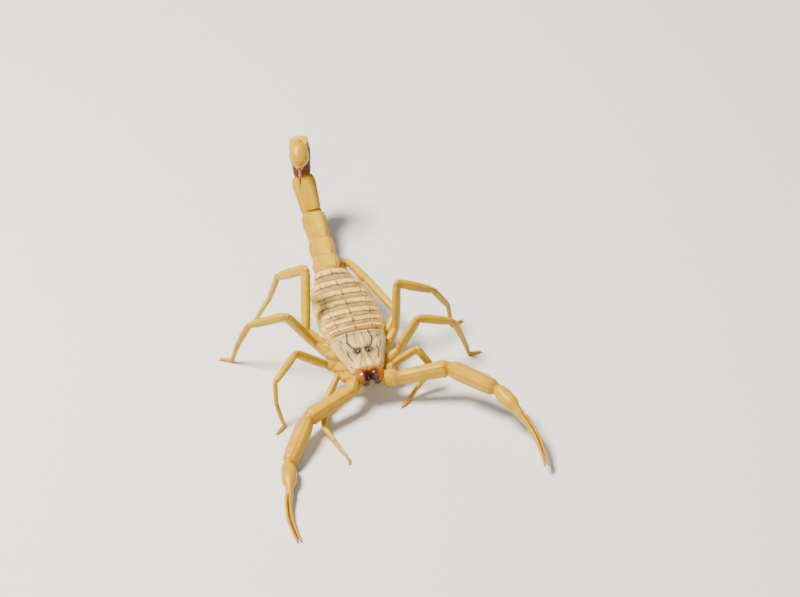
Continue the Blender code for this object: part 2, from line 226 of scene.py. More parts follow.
# %% Hang the lamps
LAMPS = {
    # the way to the lamp, its distance and size in metres, its power and its colour
    "key_lamp": ((-0.45, 0.10, 1.0), 0.6, 0.22, 11.5, (1.0, 0.90, 0.72)),
    "fill_lamp": ((-0.3, -1.0, 0.7), 0.7, 0.5, 1.6, (1.0, 0.95, 0.88)),
    "rim_lamp": ((0.4, 1.0, 0.5), 0.7, 0.4, 0.9, (1.0, 0.95, 0.86)),
}
AIR_COLOUR, AIR_STRENGTH = (0.86, 0.85, 0.82, 1), 0.18

for name, (direction, distance, size, power, colour) in LAMPS.items():
    data = bpy.data.lights.new(name, "AREA")
    data.shape, data.size, data.energy, data.color = "DISK", size, power, colour
    lamp = stand(name, data)
    lamp.location = Vector(unit(np.array(direction)) * distance)
    lamp.rotation_euler = lamp.location.to_track_quat("Z", "Y").to_euler()

world = bpy.data.worlds.new("studio_air")
world.use_nodes = True
air = world.node_tree.nodes["Background"].inputs
air["Color"].default_value, air["Strength"].default_value = AIR_COLOUR, AIR_STRENGTH
bpy.context.scene.world = world
print("lamps:", len(LAMPS))

# %% [markdown]
# ## Shader sums in plain Python
# Paint is mixed from noise and from values stored on the surface. A small class lets those values be
# added, subtracted and multiplied like numbers, and one method makes every other node.

# %% Wrap the sockets
def maths(operation, swapped=False):
    """A method that adds one Math node for a value and another, in turn or swapped."""

    def method(value, other):
        """The sum of two numbers or shader values, of which at least one is a shader value."""
        node = value.tree.nodes.new("ShaderNodeMath")
        node.operation = operation
        pair = (other, value) if swapped else (value, other)
        for socket, given in zip(node.inputs, pair):
            if isinstance(given, Value):
                value.tree.links.new(given.socket, socket)
            else:
                socket.default_value = given
        return Value(value.tree, node.outputs[0])

    return method


class Value:
    """A shader value that can be added, subtracted and multiplied, from either side."""

    def __init__(self, tree, socket):
        """Remembers the socket that gives the value, and its node tree."""
        self.tree, self.socket = tree, socket

    __add__, __radd__ = maths("ADD"), maths("ADD", swapped=True)
    __sub__, __rsub__ = maths("SUBTRACT"), maths("SUBTRACT", swapped=True)
    __mul__, __rmul__ = maths("MULTIPLY"), maths("MULTIPLY", swapped=True)


class Paint:
    """A material in the making: its node tree, its shader and the method that adds nodes."""

    def __init__(self, name, roughness):
        """A new material with one plain shader."""
        self.material = bpy.data.materials.new(name)
        self.material.use_nodes = True
        self.tree = self.material.node_tree
        self.shader = self.tree.nodes["Principled BSDF"]
        self.fix("Roughness", roughness)

    def fix(self, socket, value):
        """Sets a socket of the shader to one value all over."""
        self.shader.inputs[socket].default_value = value

    def drive(self, socket, value):
        """Links a value that changes over the surface to a socket of the shader."""
        self.tree.links.new(value.socket, self.shader.inputs[socket])

    def node(self, kind, settings, sockets, output=0):
        """Adds one node: its settings first, ramp stops among them, then its sockets."""
        made = self.tree.nodes.new(kind)
        for name, value in settings.items():
            if name == "stops":
                ramp = made.color_ramp
                while len(ramp.elements) < len(value):
                    ramp.elements.new(0.5)
                for stop, (place, level) in zip(ramp.elements, value):
                    stop.position, stop.color = place, (level, level, level, 1)
            else:
                setattr(made, name, value)
        for name, value in sockets.items():
            if isinstance(value, Value):
                self.tree.links.new(value.socket, made.inputs[name])
            else:
                made.inputs[name].default_value = value
        return Value(self.tree, made.outputs[output])

    def places(self):
        """The place of each point on the object."""
        return self.node("ShaderNodeTexCoord", {}, {}, "Object")

    def noise(self, scale, detail):
        """Cloudy noise between 0 and 1, with so many swings to the metre."""
        wants = {"Vector": self.places(), "Scale": scale, "Detail": detail, "Roughness": 0.55}
        return self.node("ShaderNodeTexNoise", {}, wants)

    def mix(self, amount, first, second):
        """A colour between two, each a link or three numbers."""
        colours = [c if isinstance(c, Value) else (*c, 1) for c in (first, second)]
        wants = {0: amount, 6: colours[0], 7: colours[1]}
        return self.node("ShaderNodeMix", {"data_type": "RGBA"}, wants, 2)

    def tint(self):
        """The three values stored on each point: amber, dark and pale."""
        stored = self.node("ShaderNodeAttribute", {"attribute_name": "tint"}, {}, "Color")
        split = self.tree.nodes.new("ShaderNodeSeparateColor")
        self.tree.links.new(stored.socket, split.inputs[0])
        return [Value(self.tree, split.outputs[k]) for k in range(3)]

    def bump(self, height, strength, depth):
        """Bends the normals as a height that rises by a depth would."""
        wants = {"Height": height, "Strength": strength, "Distance": depth}
        self.drive("Normal", self.node("ShaderNodeBump", {}, wants))

    def wax(self, weight, coat, coat_roughness):
        """Light that sinks in a little, and a thin gloss over it."""
        self.fix("Subsurface Weight", weight)
        self.fix("Subsurface Radius", (1.0, 0.55, 0.22))
        self.fix("Subsurface Scale", 0.7 * MM)
        self.fix("Coat Weight", coat)
        self.fix("Coat Roughness", coat_roughness)


print("reflected operators:", [name for name in vars(Value) if name.startswith("__r")])

# %% [markdown]
# ## The finishes
# The shell is horn: straw yellow, a little see-through, glossy. It darkens to amber at the joints and
# on the keels. The back plates carry a pinkish-grey granular bloom, the last tail joint is nearly
# black-brown, partly its own colour and partly painted shadow cast by the bulb, and the sting runs to
# black. One recipe makes them all from a row of colours.

# %% Mix the finishes
STRAW_FLECK, STRAW_MOTTLING = (0.86, 0.58, 0.04), 0.55
MOTTLE_STOPS = ((0.35, 0), (0.68, 1))
MOTTLE_SCALE, FINE_SCALE = 420, 2600

SHELL_FINISHES = (
    # name; base, pale, amber and dark colour; roughness, pits to the metre;
    # wax, gloss and the gloss's roughness; then the colour of the flecks and the share of mottling
    ("straw_horn", (0.46, 0.262, 0.0), (0.64, 0.405, 0.0), (0.42, 0.13, 0.0), (0.16, 0.06, 0.003),
     0.40, 3200, (0.08, 0.06, 0.25)),
    ("bulb_horn", (0.48, 0.295, 0.0), (0.62, 0.41, 0.0), (0.44, 0.17, 0.0), (0.20, 0.07, 0.004),
     0.34, 3200, (0.08, 0.15, 0.2)),
    ("granular_back", (0.26, 0.16, 0.062), (0.84, 0.56, 0.13), (0.44, 0.14, 0.003),
     (0.060, 0.028, 0.012), 0.50, 2400, (0.05, 0.04, 0.35)),
    ("shield_horn", (0.45, 0.325, 0.15), (0.76, 0.56, 0.19), (0.50, 0.16, 0.003),
     (0.045, 0.026, 0.016), 0.44, 2400, (0.05, 0.08, 0.3)),
    ("jaw_horn", (0.22, 0.06, 0.001), (0.52, 0.20, 0.003), (0.16, 0.028, 0.001),
     (0.014, 0.004, 0.002), 0.22, 3000, (0.03, 0.35, 0.1), (0.50, 0.20, 0.01)),
    # The last tail joint: its dark umber is partly its own colour and partly painted shadow cast by the
    # bulb.
    ("umber_horn", (0.085, 0.018, 0.004), (0.74, 0.48, 0.02), (0.46, 0.14, 0.002),
     (0.02, 0.007, 0.004), 0.50, 3000, (0.02, 0.04, 0.3), (0.16, 0.04, 0.006), 0.04),
    ("sting_horn", (0.20, 0.06, 0.01), (0.42, 0.16, 0.04), (0.26, 0.07, 0.006),
     (0.012, 0.006, 0.004), 0.25, 3000, (0.02, 0.4, 0.1), (0.20, 0.06, 0.01), 0.2),
    ("joint_skin", (0.52, 0.35, 0.06), (0.82, 0.60, 0.15), (0.36, 0.10, 0.002),
     (0.10, 0.042, 0.010), 0.46, 5200, (0.12, 0.08, 0.3)),
)


def shell_paint(
    name, base, pale, amber, dark, roughness, pits, wax, fleck=STRAW_FLECK, mottling=STRAW_MOTTLING
):
    """Horn: mottled between two yellows, then amber, dark and pale where the points say so."""
    paint = Paint(name, roughness)
    ambers, darks, pales = paint.tint()
    cloud = paint.noise(MOTTLE_SCALE, 4)
    mottle = paint.node("ShaderNodeValToRGB", {"stops": MOTTLE_STOPS}, {"Fac": cloud})
    fine = paint.noise(FINE_SCALE, 2)
    skin = paint.mix(mottle * mottling, base, pale)
    skin = paint.mix(ambers, skin, amber)
    skin = paint.mix(pales * (0.6 + 0.4 * mottle), skin, pale)
    skin = paint.mix(darks * (0.75 + 0.5 * fine), skin, dark)
    paint.drive("Base Color", paint.mix((fine - 0.5) * 0.25, skin, fleck))
    paint.drive("Roughness", roughness + (fine - 0.5) * 0.25 + darks * 0.08)
    wants = {"Vector": paint.places(), "Scale": pits}
    dimples = paint.node("ShaderNodeTexVoronoi", {"feature": "SMOOTH_F1"}, wants, "Distance")
    paint.bump(dimples + 0.5 * fine, 0.35, 0.02 * MM)
    paint.wax(*wax)
    paint.fix("Specular IOR Level", 0.3)
    return paint.material


def plain_paint(name, low, high, scale, roughness, coat):
    """A plain finish whose colour drifts a little between two."""
    paint = Paint(name, roughness)
    cloud = paint.noise(scale, 3)
    paint.drive("Base Color", paint.mix(cloud, low, high))
    paint.bump(cloud, 0.15, 0.01 * MM)
    paint.fix("Coat Weight", coat)
    paint.fix("Coat Roughness", 0.05)
    return paint.material


(
    limb_paint, bulb_paint, back_paint, shield_paint, jaw_paint, dark_and_shaded_tail_paint, sting_paint, skin_paint
) = (shell_paint(*row) for row in SHELL_FINISHES)
eye_paint = plain_paint("eye_black", (0.006, 0.005, 0.005), (0.02, 0.012, 0.008), 3000, 0.08, 1.0)
bristle_paint = plain_paint("bristle_brown", (0.30, 0.15, 0.05), (0.48, 0.28, 0.10), 900, 0.4, 0.2)
floor_paint = plain_paint("floor_white", (0.74, 0.77, 0.82), (0.78, 0.81, 0.86), 6, 0.75, 0.0)
print("finishes:", len(bpy.data.materials))

# %% [markdown]
# ## Surfaces as whole arrays
# Every piece starts as a grid of points worked out in one go. A grid could be thickened or capped by
# modifiers, but then its tints would have to be carried along. Here a tube is closed at its poles and
# a plate by a second sheet, so three numbers of tint on each point stay where they were put.

# %% Turn grids into closed surfaces
def tints_on(points, amber=0.0, dark=0.0, pale=0.0):
    """Three numbers for each point: how far it goes to amber, to dark and to pale."""
    return np.stack([np.broadcast_to(a, points.shape[:-1]) for a in (amber, dark, pale)], axis=-1)


def tube_faces(rows, around):
    """A tube's quads, and a fan at each end to a pole that is numbered after the grid's points."""
    index = np.arange(rows * around).reshape(rows, around)
    after = np.roll(index, -1, axis=1)
    quads = np.stack([index[:-1], index[1:], after[1:], after[:-1]], axis=-1).reshape(-1, 4)
    first, last = np.full(around, rows * around), np.full(around, rows * around + 1)
    near_fan = np.stack([first, index[0], after[0]], axis=-1)
    far_fan = np.stack([last, after[-1], index[-1]], axis=-1)
    return quads, np.vstack([near_fan, far_fan])


def closed_tube(grid, tint):
    """Points, faces and tints of a tube, each open end drawn together to a pole in its middle."""
    points, tints = (np.vstack([a.reshape(-1, 3), a[0].mean(0), a[-1].mean(0)]) for a in (grid, tint))
    return points, tube_faces(*grid.shape[:2]), tints


def closed_plate(points, above, below, tint):
    """A thin plate around a grid: points + normal * above, and points + normal * below, both in
    millimetres. The border of the lower sheet is the upper's, which closes the plate."""
    normals = unit(np.cross(np.gradient(points, axis=0), np.gradient(points, axis=1)))
    top, under = (points + normals * (height * MM)[..., None] for height in (above, below))
    rows, columns = top.shape[:2]
    upper = np.arange(rows * columns).reshape(rows, columns)
    lower = upper.copy()
    lower[1:-1, 1:-1] = upper.size + np.arange((rows - 2) * (columns - 2)).reshape(rows - 2, -1)
    quads = [
        np.stack([sheet[:-1, :-1], sheet[1:, :-1], sheet[1:, 1:], sheet[:-1, 1:]], -1).reshape(-1, 4)
        for sheet in (upper, lower)
    ]
    points, tints = (
        np.vstack([outer.reshape(-1, 3), inner[1:-1, 1:-1].reshape(-1, 3)])
        for outer, inner in ((top, under), (tint, tint))
    )
    return points, (quads[0], quads[1][:, ::-1]), tints


print("faces of a closed tube of 3 rings of 8 points:", [len(group) for group in tube_faces(3, 8)])

# %% [markdown]
# A closed surface becomes a mesh in a few calls that each hand over one whole array. The sign of the
# volume tells whether its faces point outwards, whatever the order in which the grid was drawn.

# %% Make a piece from closed surfaces
pieces_made = {}


def signed_volume(points, faces):
    """Six times the volume that the faces enclose: the sum of triple products over a fan of each."""
    total = 0.0
    for group in faces:
        for k in range(1, group.shape[1] - 1):
            a, b, c = points[group[:, 0]], points[group[:, k]], points[group[:, k + 1]]
            total += (a * np.cross(b, c)).sum()
    return total


def make_piece(name, surfaces, paint, slot, *nodes):
    """One mesh object from closed surfaces, riding on the body and standing for its solids."""
    bases = np.cumsum([0] + [len(points) for points, _, _ in surfaces])
    corners, counts = [], []
    for (points, faces, _), base in zip(surfaces, bases):
        inside_out = signed_volume(points, faces) < 0
        for group in faces:
            group = group[:, ::-1] if inside_out else group
            corners.append((group + base).ravel())
            counts.append(np.full(len(group), group.shape[1]))
    corners, counts = np.concatenate(corners), np.concatenate(counts)
    starts = np.cumsum(counts) - counts
    points = np.concatenate([points for points, _, _ in surfaces])
    tints = np.clip(np.concatenate([tints for _, _, tints in surfaces]), 0, 1)
    mesh = bpy.data.meshes.new(name)
    mesh.vertices.add(len(points))
    mesh.vertices.foreach_set("co", points.astype(np.float32).ravel())
    mesh.loops.add(len(corners))
    mesh.loops.foreach_set("vertex_index", corners.astype(np.int32))
    mesh.polygons.add(len(counts))
    mesh.polygons.foreach_set("loop_start", starts.astype(np.int32))
    mesh.update(calc_edges=True)
    mesh.shade_smooth()
    stored = mesh.attributes.new("tint", "FLOAT_COLOR", "POINT")
    colours = np.column_stack([tints, np.ones(len(tints))])
    stored.data.foreach_set("color", colours.astype(np.float32).ravel())
    mesh.materials.append(paint)
    piece = stand(name, mesh)
    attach(piece, "root")
    if nodes:
        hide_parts(*nodes)
    pieces_made[name] = int((counts - 2).sum())


def tell(start):
    """Prints how many pieces have a name that starts so, and their triangles."""
    made = [count for name, count in pieces_made.items() if name.startswith(start)]
    print(f"{start} pieces: {len(made)}, triangles: {sum(made)}")


# %% [markdown]
# Relief is a sum of simple heights: a bell for a keel, a soft step for an edge, slow waves so that no
# surface is quite even, and grains strewn over space. Sculpting would give the same look, but a
# formula runs again in a second when a number changes. Lengths of relief are in millimetres. Every
# random draw names its own seed, so a change to one piece leaves all the others as they were.

# %% Smooth curves, random drift and grains
GRAIN_TABLE, GRAIN_STRIDES = 4096, np.array([73, 1381, 2917])
GRAIN_LEAST, GRAIN_SPREAD = 0.22, 0.38


def profile(rows, place):
    """The columns of a table read anywhere along its first column, on a smooth curve.

    Between two rows it is a cubic; a row's slope is the harmonic mean of the slopes beside it, or
    nothing where the curve turns, so it never swings past its rows.
    """
    at, values = rows[:, 0], rows[:, 1:]
    gap = np.diff(at)[:, None]
    rise = np.diff(values, axis=0) / gap
    slope = np.zeros_like(values)
    before, after = rise[:-1], rise[1:]
    same = before * after > 0
    slope[1:-1] = np.where(same, 2 * before * after / np.where(same, before + after, 1), 0)
    slope[0], slope[-1] = rise[0], rise[-1]
    k = np.clip(np.searchsorted(at, place) - 1, 0, len(at) - 2)
    t = ((place - at[k]) / gap[k, 0])[..., None]
    ends = values[k] * (1 + 2 * t) * (1 - t) ** 2 + values[k + 1] * t**2 * (3 - 2 * t)
    return ends + gap[k] * (slope[k] * t * (1 - t) ** 2 - slope[k + 1] * t**2 * (1 - t))


def signed_power(value, power):
    """The size of a value raised to a power, with the value's own sign."""
    return np.sign(value) * np.abs(value) ** power


def bell(distance, width):
    """One on a line and nothing far from it: exp of minus (distance / width) squared."""
    return np.exp(-((distance / width) ** 2))


def ease(value):
    """A soft step from 0 to 1: 3 v^2 - 2 v^3."""
    value = np.clip(value, 0, 1)
    return value * value * (3 - 2 * value)


def keel(turn, at, width):
    """A ridge along a tube at one angle, all angles in degrees."""
    apart = (np.degrees(turn) - at + 180) % 360 - 180
    return bell(apart, width)


def beads(run, spacing, depth, sway=0.0):
    """A factor like a string of beads: 1 - depth + depth * sin(2 pi run / spacing + sway)."""
    return 1 - depth + depth * np.sin(run / spacing * 2 * math.pi + sway)


def drift(points, length, seed):
    """A slow random swing between -1 and 1 over space: the mean of six sine waves of like length."""
    rng = np.random.default_rng(seed)
    ways = unit(rng.normal(size=(6, 3))) * rng.uniform(0.7, 1.5, (6, 1)) * 2 * math.pi / (length * MM)
    return np.sin(points @ ways.T + rng.uniform(0, 2 * math.pi, 6)).mean(-1) * 1.6


def grains(points, spacing, seed):
    """Heights from 0 to 1 of round grains strewn over space.

    Space is cut into cubes and each holds one grain at a random place, of random size. A point's
    height is that of the grain that rises highest there: 1 - (distance / radius) squared.
    """
    table = np.random.default_rng(seed).random((GRAIN_TABLE, 4))
    flat = points.reshape(-1, 3) / (spacing * MM)
    cell = np.floor(flat).astype(int)
    height = np.zeros(len(flat))
    for step in np.ndindex(3, 3, 3):
        home = cell + np.array(step) - 1
        dice = table[(home @ GRAIN_STRIDES) % GRAIN_TABLE]
        away = ((flat - home - dice[:, :3]) ** 2).sum(1)
        radius = GRAIN_LEAST + GRAIN_SPREAD * dice[:, 3]
        grain = radius / (GRAIN_LEAST + GRAIN_SPREAD) * (1 - away / radius**2)
        height = np.maximum(height, grain)
    return height.reshape(points.shape[:-1])


print("a bell one width away:", round(float(bell(1, 1)), 3), "a quarter of a soft step:", ease(0.25))

# %% [markdown]
# ## Tubes from the solids' own sections
# A limb is a row of tubes. Each takes its middle line and half sizes from a solid's rings, runs
# smoothly through them, and is half round past both ends, so that neighbours meet in a ball at the
# bend. On top come keels, beads and grains, lifted along the surface's own normals.

# %% Carry a section along a solid
CAP_ROWS = 8
CAP_START = 0.06
TINTS = ("amber", "dark", "pale")


class Tube:
    """A grid over a tube. For each point, from_root and to_tip count the millimetres from both ends,
    share goes from 0 to 1 along it, and turn is the angle around it."""

    def __init__(self, centres, wide, high, side, caps, rows, around, power):
        """Superellipse sections: side * wide * |cos|^(2/power) + up * high * |sin|^(2/power).

        Past an end by x of its cap, both half sizes shrink by the square root of 1 - x^2.
        """
        steps = np.linalg.norm(np.diff(centres, axis=0), axis=1)
        where = np.concatenate([[0], np.cumsum(steps)])
        self.length = where[-1]
        bend = np.cos(np.linspace(CAP_START, 1, CAP_ROWS) * math.pi / 2)
        body = np.linspace(0, self.length, rows)[1:-1]
        self.line = np.concatenate([-caps[0] * bend, body, self.length + caps[1] * bend[::-1]])
        table = np.column_stack([where, centres, wide, high])
        read = profile(table, np.clip(self.line, 0, self.length))
        early, late = np.minimum(self.line, 0), np.maximum(self.line - self.length, 0)
        over = np.maximum(-self.line / caps[0], (self.line - self.length) / caps[1]).clip(0, 1)
        self.wide, self.high = (read[:, 3:] * np.sqrt(1 - over**2)[:, None]).T
        first_way, last_way = unit(centres[1] - centres[0]), unit(centres[-1] - centres[-2])
        self.centres = read[:, :3] + early[:, None] * first_way + late[:, None] * last_way
        self.along = unit(np.gradient(self.centres, axis=0))
        self.side = unit(side - self.along * (self.along @ side)[:, None])
        self.up = np.cross(self.side, self.along)
        angle = (np.arange(around) + 0.5) * 2 * math.pi / around
        across = self.wide[:, None] * signed_power(np.cos(angle), 2 / power)
        rise = self.high[:, None] * signed_power(np.sin(angle), 2 / power)
        offset = self.side[:, None] * across[..., None] + self.up[:, None] * rise[..., None]
        self.points = self.centres[:, None] + offset
        run, self.turn = np.meshgrid(self.line, angle, indexing="ij")
        self.share = np.clip(run / self.length, 0, 1)
        self.from_root, self.to_tip = run / MM, (self.length - run) / MM
        self.tint = np.zeros(self.points.shape)

    def normals(self):
        """The cross product of the steps along and around."""
        down = np.gradient(self.points, axis=0)
        round_about = np.roll(self.points, -1, axis=1) - np.roll(self.points, 1, axis=1)
        return unit(np.cross(down, round_about))

    def lift(self, height):
        """Moves every point along its normal by a height in millimetres."""
        self.points = self.points + self.normals() * (height * MM)[..., None]

    def stain(self, **amounts):
        """Raises the amber, dark or pale tint to an amount where that is more."""
        for name, amount in amounts.items():
            channel = TINTS.index(name)
            self.tint[..., channel] = np.maximum(self.tint[..., channel], amount)

    def inner(self, margin):
        """One along the piece, easing to nothing at its ends."""
        return ease(self.from_root / margin) * ease(self.to_tip / margin)

    def closed(self):
        """The tube as a closed surface with its tints."""
        return closed_tube(self.points, self.tint)


def sections(rings, side, up, power):
    """Centres and half sizes of a solid's rings, measured along two directions.

    A ring of n corners falls inside its oval by cos(pi / n) ^ (2 / power), which is put back.
    """
    centres = np.array([middle(ring) for ring in rings])
    inset = math.cos(math.pi / len(rings[0])) ** (2 / power)
    wide, high = (
        np.array([np.abs((ring - centre) @ way).max() / inset for ring, centre in zip(rings, centres)])
        for way in (side, up)
    )
    return centres, wide, high


def frames_along(joints):
    """Along, side and up of each stretch: the side starts level and crosses each bend untwisted."""
    alongs = unit(np.diff(joints, axis=0))
    sides = [unit(np.cross(alongs[0], Z_AXIS))]
    for before, after in zip(alongs, alongs[1:]):
        turn = Vector(before).rotation_difference(Vector(after))
        sides.append(np.array(turn @ Vector(sides[-1])))
    sides = np.array(sides)
    return alongs, sides, np.cross(sides, alongs)


print("side of the first tail joint:", np.round(frames_along(tail)[1][0], 2))

# %% [markdown]
# ## Small pointed things
# Bristles, claws, teeth and spurs are all the same shape at different sizes: a thin horn that leaves
# its root one way and ends another. A hair system would do for the bristles, but not for the claws,
# and a strand has no thickness outside the render. One function makes any number of horns at once.

# %% Make many small horns at once
HAIR_SINK = 0.03 * MM


def horns(roots, first, last, length, radius, sides=3, rows=3, tint=(0, 0, 0), blunt=0.8):
    """Closed curved cones. The middle line is root + length * (t * first + t^2 / 2 * (last - first)),
    and the radius falls as (1 - t) ^ blunt. Lengths and radii are in millimetres."""
    roots, first, last = (np.atleast_2d(a) for a in (roots, first, last))
    first, last = unit(first), unit(last)
    count = len(roots)
    length = np.broadcast_to(np.multiply(length, MM), count)[:, None, None]
    radius = np.broadcast_to(np.multiply(radius, MM), count)[:, None, None, None]
    t = np.linspace(0, 1, rows + 1)[:-1, None]
    start, change = first[:, None], (last - first)[:, None]
    line = roots[:, None] + length * (t * start + 0.5 * t**2 * change)
    heading = unit(start + t * change)
    spare = np.where(np.abs(heading[..., 2:]) < 0.9, Z_AXIS, X_AXIS)
    side = unit(np.cross(heading, spare))[:, :, None]
    up = np.cross(side, heading[:, :, None])
    angle = (np.arange(sides) * 2 * math.pi / sides)[:, None]
    ring = side * np.cos(angle) + up * np.sin(angle)
    body = line[:, :, None] + ring * radius * ((1 - t) ** blunt)[:, :, None]
    tip = roots + length[:, 0] * (first + 0.5 * (last - first))
    points = np.concatenate([body.reshape(count, -1, 3), roots[:, None], tip[:, None]], axis=1)
    shift = (np.arange(count) * points.shape[1])[:, None, None]
    faces = [(group + shift).reshape(-1, group.shape[1]) for group in tube_faces(rows, sides)]
    flat = points.reshape(-1, 3)
    return flat, faces, np.tile(np.array(tint, float), (len(flat), 1))


def bristles_on(tube, count, length, seed, lean=0.5, radius=0.022):
    """Hairs on random points of a tube, standing out and leaning towards its far end."""
    rng = np.random.default_rng(seed)
    rows = rng.integers(CAP_ROWS, len(tube.line) - CAP_ROWS, count)
    turns = rng.integers(0, tube.points.shape[1], count)
    out = tube.normals()[rows, turns]
    along = tube.along[rows]
    first = out + along * lean + rng.normal(0, 0.15, (count, 3))
    roots = tube.points[rows, turns] - out * HAIR_SINK
    return horns(roots, first, first + along, length * rng.uniform(0.6, 1.3, count), radius)


def off_the_floor(surface):
    """The same surface, with whatever reaches below the floor brought up to it."""
    points, faces, tints = surface
    return np.column_stack([points[:, :2], np.maximum(points[:, 2], 0.0)]), faces, tints


print("faces of one bristle:", sum(len(group) for group in tube_faces(3, 3)))

# %% [markdown]
# ## The trunk
# Behind the head shield the body is a soft bag with seven hard plates on its back and five below.
# The bag and the plates share one cross-section, an arch over a shallower one, that is read from the
# solids slice by slice. The skin fills the flanks between the plates, where it bulges and folds.

# %% Read the trunk's slices
TRUNK_POWER = 2.4
SLICE_CORNERS = 16
TERGITES = 7


def slices_of(node):
    """Back, sway, half width, edge height, top and bottom of every flat cross-section of a solid."""
    points = np.unique(corners_of(node), axis=0)
    full_width = np.ptp(points[:, 0])
    rows = []
    for back in np.unique(points[:, 1]):
        ring = points[points[:, 1] == back]
        low, high = ring.min(0), ring.max(0)
        if len(ring) >= SLICE_CORNERS and high[0] - low[0] > 0.4 * full_width:
            widest = ring[ring[:, 0] > high[0] - 1e-6, 2]
            half = 0.5 * (high[0] - low[0]) / math.cos(math.pi / len(ring)) ** (2 / TRUNK_POWER)
            rows.append((back, 0.5 * (low[0] + high[0]), half, widest.mean(), high[2], low[2]))
    return np.array(rows)


def trunk_surface(back, turn, rows, power=TRUNK_POWER):
    """Points of the trunk: sway + half width * cos ^ (2/power) across, and above or below the edge
    height by the top's or the bottom's distance * sin ^ (2/power)."""
    sway, half, edge, top, bottom = np.moveaxis(profile(rows, back), -1, 0)
    rise = signed_power(np.sin(turn), 2 / power)
    height = edge + np.where(rise > 0, rise * (top - edge), rise * (edge - bottom))
    return np.stack([sway + half * signed_power(np.cos(turn), 2 / power), back, height], axis=-1)


def plate_plan(grid, arc):
    """For each point of a plate: its share of the way back, its turn, and the degrees off the middle."""
    steps, turns = np.linspace(0, 1, grid[0]), np.radians(np.linspace(*arc, grid[1]))
    share, turn = np.meshgrid(steps, turns, indexing="ij")
    return share, turn, np.abs(np.degrees(turn) - 0.5 * sum(arc))


back_nodes = [f"abdomen_{k + 1}" for k in range(TERGITES)]
plate_slices = [slices_of(node) for node in back_nodes]
shield_slices = slices_of("carapace")
trunk_rows = np.vstack([shield_slices[:-1]] + [rows[[0, 1, 2]] for rows in plate_slices])
trunk_rows = trunk_rows[np.concatenate([[True], np.diff(trunk_rows[:, 0]) > 1e-5])]
print("trunk slices:", len(trunk_rows), "shield slices:", len(shield_slices))

# %% [markdown]
# The skin is one closed tube under all the plates, from the mouth to the root of the tail. Under the
# plates it is drawn in by a third of a millimetre, and between them it swells out.

# %% Sew the trunk skin
SKIN_GRID = (260, 140)
SKIN_TUCK, SKIN_BULGE, SKIN_FOLD = 0.38, 0.30, 0.24
FLANK_ANGLE = -22
ACROSS_FOLDS = np.array([1, 3, 1])


def build_trunk_skin():
    """The trunk's section pushed in under the plates and out along the flanks, with a fold at every
    plate's rear edge: depth * bell(back - edge) on the flank."""
    rows, around = SKIN_GRID
    front, rear = trunk_rows[0, 0] + 0.3 * MM, trunk_rows[-1, 0] - 0.2 * MM
    turns = np.linspace(0, 2 * math.pi, around + 1)[:-1]
    back, turn = np.meshgrid(np.linspace(front, rear, rows), turns, indexing="ij")
    points = trunk_surface(back, turn, trunk_rows)
    round_about = np.roll(points, -1, axis=1) - np.roll(points, 1, axis=1)
    outward = unit(np.cross(np.gradient(points, axis=0), round_about))
    flank = np.maximum(keel(turn, FLANK_ANGLE, 26), keel(turn, 180 - FLANK_ANGLE, 26))
    behind_head = ease((back - shield_high[1] + 0.5 * MM) / (2 * MM))
    height = -SKIN_TUCK + (SKIN_TUCK + SKIN_BULGE) * flank * behind_head
    for rows in plate_slices:
        height = height - SKIN_FOLD * flank * bell(back - rows[-1, 0], 0.28 * MM) * behind_head
    height = height + 0.05 * flank * drift(points * ACROSS_FOLDS, 1.2, 3)
    points = points + outward * (height * MM)[..., None]
    tail_root = ease((back - plate_slices[-1][0, 0]) / (4 * MM))
    amber = 0.75 * tail_root * keel(turn, 205, 40)
    tint = tints_on(points, amber, dark=0.35 * (1 - behind_head), pale=0.5 * flank)
    make_piece("trunk_skin", [closed_tube(points, tint)], skin_paint, "membrane", *back_nodes)


build_trunk_skin()
tell("trunk_skin")

# %% [markdown]
# Each back plate slides under the one before it. Its front third is sunk and smooth, its middle is
# covered in dark grains, and its rear edge is a raised pale roll. One short keel runs along the middle
# and one or two on each side.

# %% Forge the back plates
PLATE_GRID, PLATE_ARC = (90, 220), (11, 169)
PLATE_THICKNESS = 0.26
PLATE_LAP, PLATE_OVERHANG, EDGE_BOW = 0.35 * MM, 0.12 * MM, 0.28 * MM
# Side keels as degrees from the middle, each with its width.
FRONT_KEELS, MIDDLE_KEELS, LAST_KEELS = ((30, 1.2), (56, 1.2)), ((34, 1.2),), ((27, 1.3), (52, 1.3))


